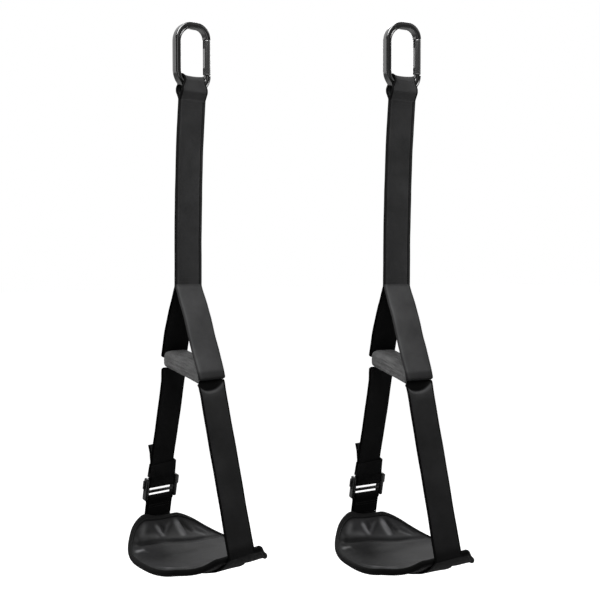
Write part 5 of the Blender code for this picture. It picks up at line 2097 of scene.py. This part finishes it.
    def rubbed(self, x: Array, y: Array, folds: Array) -> Array:
        """The painted light and shade on the leather: painted highlights on its ridges, along its highlight
        strokes and on a patch towards the front right, and painted shade in its valleys and in a broad
        bell-shaped patch.

        Args:
            x: Distances across the flat pad.
            y: Distances along it.
            folds: The height of its folds.

        Returns:
            The painted light at each point.
        """
        # Painted highlights on the ridges and painted shade in the valleys.
        ridges = np.clip(folds / 0.0018, -0.40, 0.7)
        # A broad patch of painted shade.
        shade_patch = np.exp(-(((x + 0.036) / 0.042) ** 2) - ((y - 0.024) / 0.042) ** 2)
        # A painted highlight patch towards the front right.
        worn = eased((0.060 - y) / 0.07) * eased((x + 0.045) / 0.06)
        highlight_strokes = sum(stroke.amount(x, y) for stroke in self.shines)
        return ridges + highlight_strokes - 0.60 * shade_patch + 0.35 * worn

    def backing(self) -> Shell:
        """The cloth under the foam.

        Returns:
            The cloth.
        """
        y, across = self.grid()
        rim, foam = self.fullness(y, across), self.foam_half(y, across)
        top = self.spot(y, across, -(foam + 0.0002) * rim)
        bottom = self.spot(y, across, -(foam + self.skin) * rim)
        return slab(top, bottom, stacked(across * self.half_widths(y), y))

    def outline(self, count: int = 420) -> Array:
        """The flat pad's outline in even steps, run round once.

        Args:
            count: How many steps.

        Returns:
            Points (x, y).
        """
        y = self.half_length * np.sin(np.linspace(-QUARTER, QUARTER, 400))
        right = stacked(self.half_widths(y), y)
        loop = np.concatenate((right, right[::-1] * (-1, 1), right[:1]))
        return even_steps(loop, path_lengths(loop)[-1] / count)[:-1]

    def on_rim(self, flat: Array, reach: Array, height: Array) -> Array:
        """Points beside the rim.

        Args:
            flat: The outline.
            reach: How far out from the outline each point of the section lies.
            height: How far it lies off the pad's middle surface.

        Returns:
            The points, a row for each point of the outline.
        """
        outward = turned_right(np.roll(flat, -2, axis=0) - np.roll(flat, 2, axis=0))
        spots = flat[:, None] + outward[:, None] * reach[None, :, None]
        y = np.clip(spots[..., 1], -self.half_length, self.half_length)
        share = np.clip(spots[..., 0] / self.half_widths(y), -1, 1)
        points = self.spot(y, share, np.broadcast_to(height, share.shape), np.abs(spots[..., 1] - y))
        points[..., 0] = self.middle_x + spots[..., 0] - self.tuck(y, share)
        return points

    def binding(self) -> Shell:
        """The tape folded round the rim: a U section with a round fold, carried round the outline.

        Returns:
            The tape, with its painted light: lighter at the rear, and painted shade towards the front.
        """
        flat = self.outline()
        half = self.tape_thickness / 2
        lift = self.foam_edge / 2 + self.skin + self.tape_lift + half
        fold = arc((0.0009 - lift * 0.8, 0.0), (lift * 0.8, lift), QUARTER, -QUARTER, 11)
        upper = stacked(np.linspace(-self.tape_cover, fold[0, 0], 5)[:-1], lift)
        line = np.concatenate((upper, fold, upper[::-1] * (1, -1)))
        normal = -path_normals(line)
        outer, inner = line + normal * half, line - normal * half
        tips = line[[-1, 0]] - (half * 0.8, 0)
        section = np.concatenate((outer, tips[:1], inner[::-1], tips[1:]))
        along = path_lengths(np.concatenate((flat, flat[:1])))[:-1]
        lie = stacked(path_lengths(section)[None], along[:, None])
        # Painted light along the tape: lighter at the rear, painted shade towards the front.
        rub = 0.5 - 1.2 * eased((0.01 - flat[:, 1]) / 0.09)
        shell = tube(self.on_rim(flat, section[:, 0], section[:, 1]), lie, loop=True)
        return replace(shell, rub=np.repeat(rub, len(section)))

    def rim_seams(self) -> Shell:
        """Stitches along the tape's inner edge, on both faces.

        Returns:
            All the stitches.
        """
        flat = self.outline(300)
        lift = self.foam_edge / 2 + self.skin + self.tape_lift + self.tape_thickness
        shells = []
        for sign in (1, -1):
            heights = np.array((sign * lift, sign * (lift + 0.001)))
            low, high = np.moveaxis(self.on_rim(flat, np.full(2, self.seam_reach), heights), 1, 0)
            line, up = (np.concatenate((rows, rows[:1])) for rows in (low, high - low))
            shells.append(Stitching(pitch=0.0034, length=0.0026, radius=0.0003).run(line, up))
        return joined(shells)

    def under_webbing(self) -> Shell:
        """The webbing beneath the pad, from the front leg's foot to the rear rim and up behind it.

        Returns:
            The webbing.
        """
        beneath = self.under_spots(np.linspace(self.webbing_from, self.half_length, 70))
        end = self.under_spots(np.array([self.half_length]), self.rim_reach)
        up = np.array((-math.sin(self.leg.lean), math.cos(self.leg.lean)))
        path = even_steps(np.concatenate((beneath, end, end + up * self.lift_end)), 0.002)
        return self.shop.webbing.ribbon(path, None, self.middle_x, None, 1.4, self.webbing_droop(path))

    def build(self) -> None:
        """Make the pad's pieces, and bake their places into their meshes."""
        shop = self.shop
        leather, edge = "pad_leather", "binding_tape"
        hidden = ("pad_lining", "pad_foam")
        cloth = TapeFinish("pad_backing_cloth", 0.004)
        # The webbing under the pad is painted dark as it lies in shade.
        shaded = WovenFinish(Weave.SHADED)
        cushion = shop.piece("pad_cushion", self.cushion(), None, LeatherFinish(), *hidden, slot=leather)
        pieces = [
            cushion,
            shop.piece("pad_underside", self.backing(), None, cloth, "pad_backing", slot=leather),
            shop.piece("pad_edge_tape", self.binding(), None, TapeFinish(), "pad_binding", slot=edge),
            shop.piece("pad_edge_seams", self.rim_seams(), None, SEWING_THREAD, slot=edge),
            shop.piece("pad_sling", self.under_webbing(), None, shaded, "under_pad_webbing"),
        ]
        for part in pieces:
            shop.follow(part, self.follow_from, self.follow_to)


# Studio

@dataclass(frozen=True)
class Studio:
    """The camera, the lamps, the pale floor and the white surround."""

    camera_at: Triple = (-0.8943, -1.3363, -0.3721)
    pitch: float = math.radians(90 - 2.383)
    heading: float = math.radians(-33.97)
    lens: float = 58.98
    aim: Triple = (0.0, 0.0, -0.45)
    floor_z: float = -1.45
    floor_reach: float = 30.0
    floor_glow: float = 0.80
    surround: float = 0.24
    room: float = 0.09
    room_edge: Pair = (-0.10, 0.40)

    def camera(self) -> None:
        """Set the photograph's viewpoint."""
        data = bpy.data.cameras.new("photo_camera")
        data.lens = self.lens
        data.sensor_width = 36.0
        data.clip_start = 0.01
        made = put_in_scene("photo_camera", data)
        made.location = self.camera_at
        made.rotation_euler = (self.pitch, 0.0, self.heading)
        bpy.context.scene.camera = made

    def lamp(self, name: str, at: Triple, size: float, power: float) -> None:
        """A square soft box aimed at the straps' middle.

        Args:
            name: Its name.
            at: Where it stands.
            size: The length of its side.
            power: Its power in watts.
        """
        data = bpy.data.lights.new(name, "AREA")
        data.size = size
        data.energy = power
        made = put_in_scene(name, data)
        made.location = at
        made.rotation_euler = (Vector(self.aim) - Vector(at)).to_track_quat("-Z", "Y").to_euler()

    def floor(self) -> None:
        """A wide pale floor, below the hanging straps, that the camera sees white."""
        signs = np.array(((-1, -1), (1, -1), (1, 1), (-1, 1)))
        mesh = bpy.data.meshes.new("studio_floor")
        corners = stacked(*(signs * self.floor_reach).T, self.floor_z)
        mesh.from_pydata(corners.tolist(), [], [(0, 1, 2, 3)])
        made = put_in_scene("studio_floor", mesh)
        nodes = Nodes("studio_floor")
        level = nodes.math("MULTIPLY", nodes.seen(nodes.add("ShaderNodeLightPath")), self.floor_glow)
        glow = nodes.add("ShaderNodeEmission", {"Strength": level})
        mix = nodes.add("ShaderNodeAddShader", {0: nodes.shader, 1: glow})
        nodes.feed(nodes.tree.nodes["Material Output"], 0, mix)
        plain = {"Base_Color": (0.9, 0.9, 0.9, 1.0), "Roughness": 0.9, "Specular_IOR_Level": 0.1}
        mesh.materials.append(nodes.finished({}, **plain))
        made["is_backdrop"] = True

    def world(self) -> None:
        """White to the camera, with the plain backdrop in reflections and the dimmer room before it.

        A reflected ray that heads away from the camera meets the white backdrop, and one that heads back
        towards it meets the room.  The rest of the light is one plain level.
        """
        world = bpy.data.worlds.new("white_surround")
        bpy.context.scene.world = world
        world.use_nodes = True
        tree = Tree(world.node_tree)
        rays = tree.add("ShaderNodeLightPath")
        ahead = (-math.sin(self.heading), math.cos(self.heading), 0.0)
        way = tree.add("ShaderNodeTexCoord").outputs["Generated"]
        facing = tree.vector("DOT_PRODUCT", way, ahead).outputs["Value"]
        low, high = self.room_edge
        spread = {"Value": facing, "From Min": low, "From Max": high, "To Min": self.room, "To Max": 1.0}
        room = tree.add("ShaderNodeMapRange", spread, interpolation_type="SMOOTHSTEP")
        glossy = rays.outputs["Is Glossy Ray"]
        plain = tree.add("ShaderNodeMix", {"Factor": glossy, "A": self.surround, "B": room})
        level = tree.add("ShaderNodeMix", {"Factor": tree.seen(rays), "A": plain, "B": 1.0})
        back = tree.tree.nodes["Background"]
        tree.feed(back, "Color", (1.0, 1.0, 1.0, 1.0))
        tree.feed(back, "Strength", level)

    def build(self) -> None:
        """Set up the whole studio."""
        self.camera()
        self.lamp("key_box", (-0.45, -0.80, 1.25), 1.3, 42.0)
        self.lamp("side_box", (-1.9, 0.5, 0.1), 1.2, 7.0)
        self.lamp("back_box", (1.2, 1.6, 0.8), 1.2, 20.0)
        self.floor()
        self.world()
        bpy.context.scene.view_settings.view_transform = "Standard"
        LOG.info("studio ready")


def bounds_as_lists() -> list[list[float]]:
    """The whole object's box as plain lists of numbers."""
    low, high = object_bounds()
    return [[float(x) for x in low], [float(x) for x in high]]


def main() -> dict:
    """Load the frame, dress both straps and set up the studio.

    Returns:
        The sizes: the solids' box and the dressed part's box.
    """
    logging.basicConfig(level=logging.INFO, format="%(name)s: %(message)s")
    material_of.cache_clear()
    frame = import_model()
    sizes = {"cad": bounds_as_lists()}
    Studio().build()
    for side in Side:
        shop = Shop(Place(side))
        leg = RearLeg()
        pad = Pad(shop, leg)
        Carabiner(shop).build(frame)
        HangingStrap(shop).build()
        grip = Grip(shop)
        grip.build()
        Legs(shop, pad, grip).build()
        Adjuster(shop, leg).build()
        pad.build()
    bpy.context.view_layer.update()
    sizes["visual"] = bounds_as_lists()
    return sizes


if __name__ == "__main__":
    found = main()
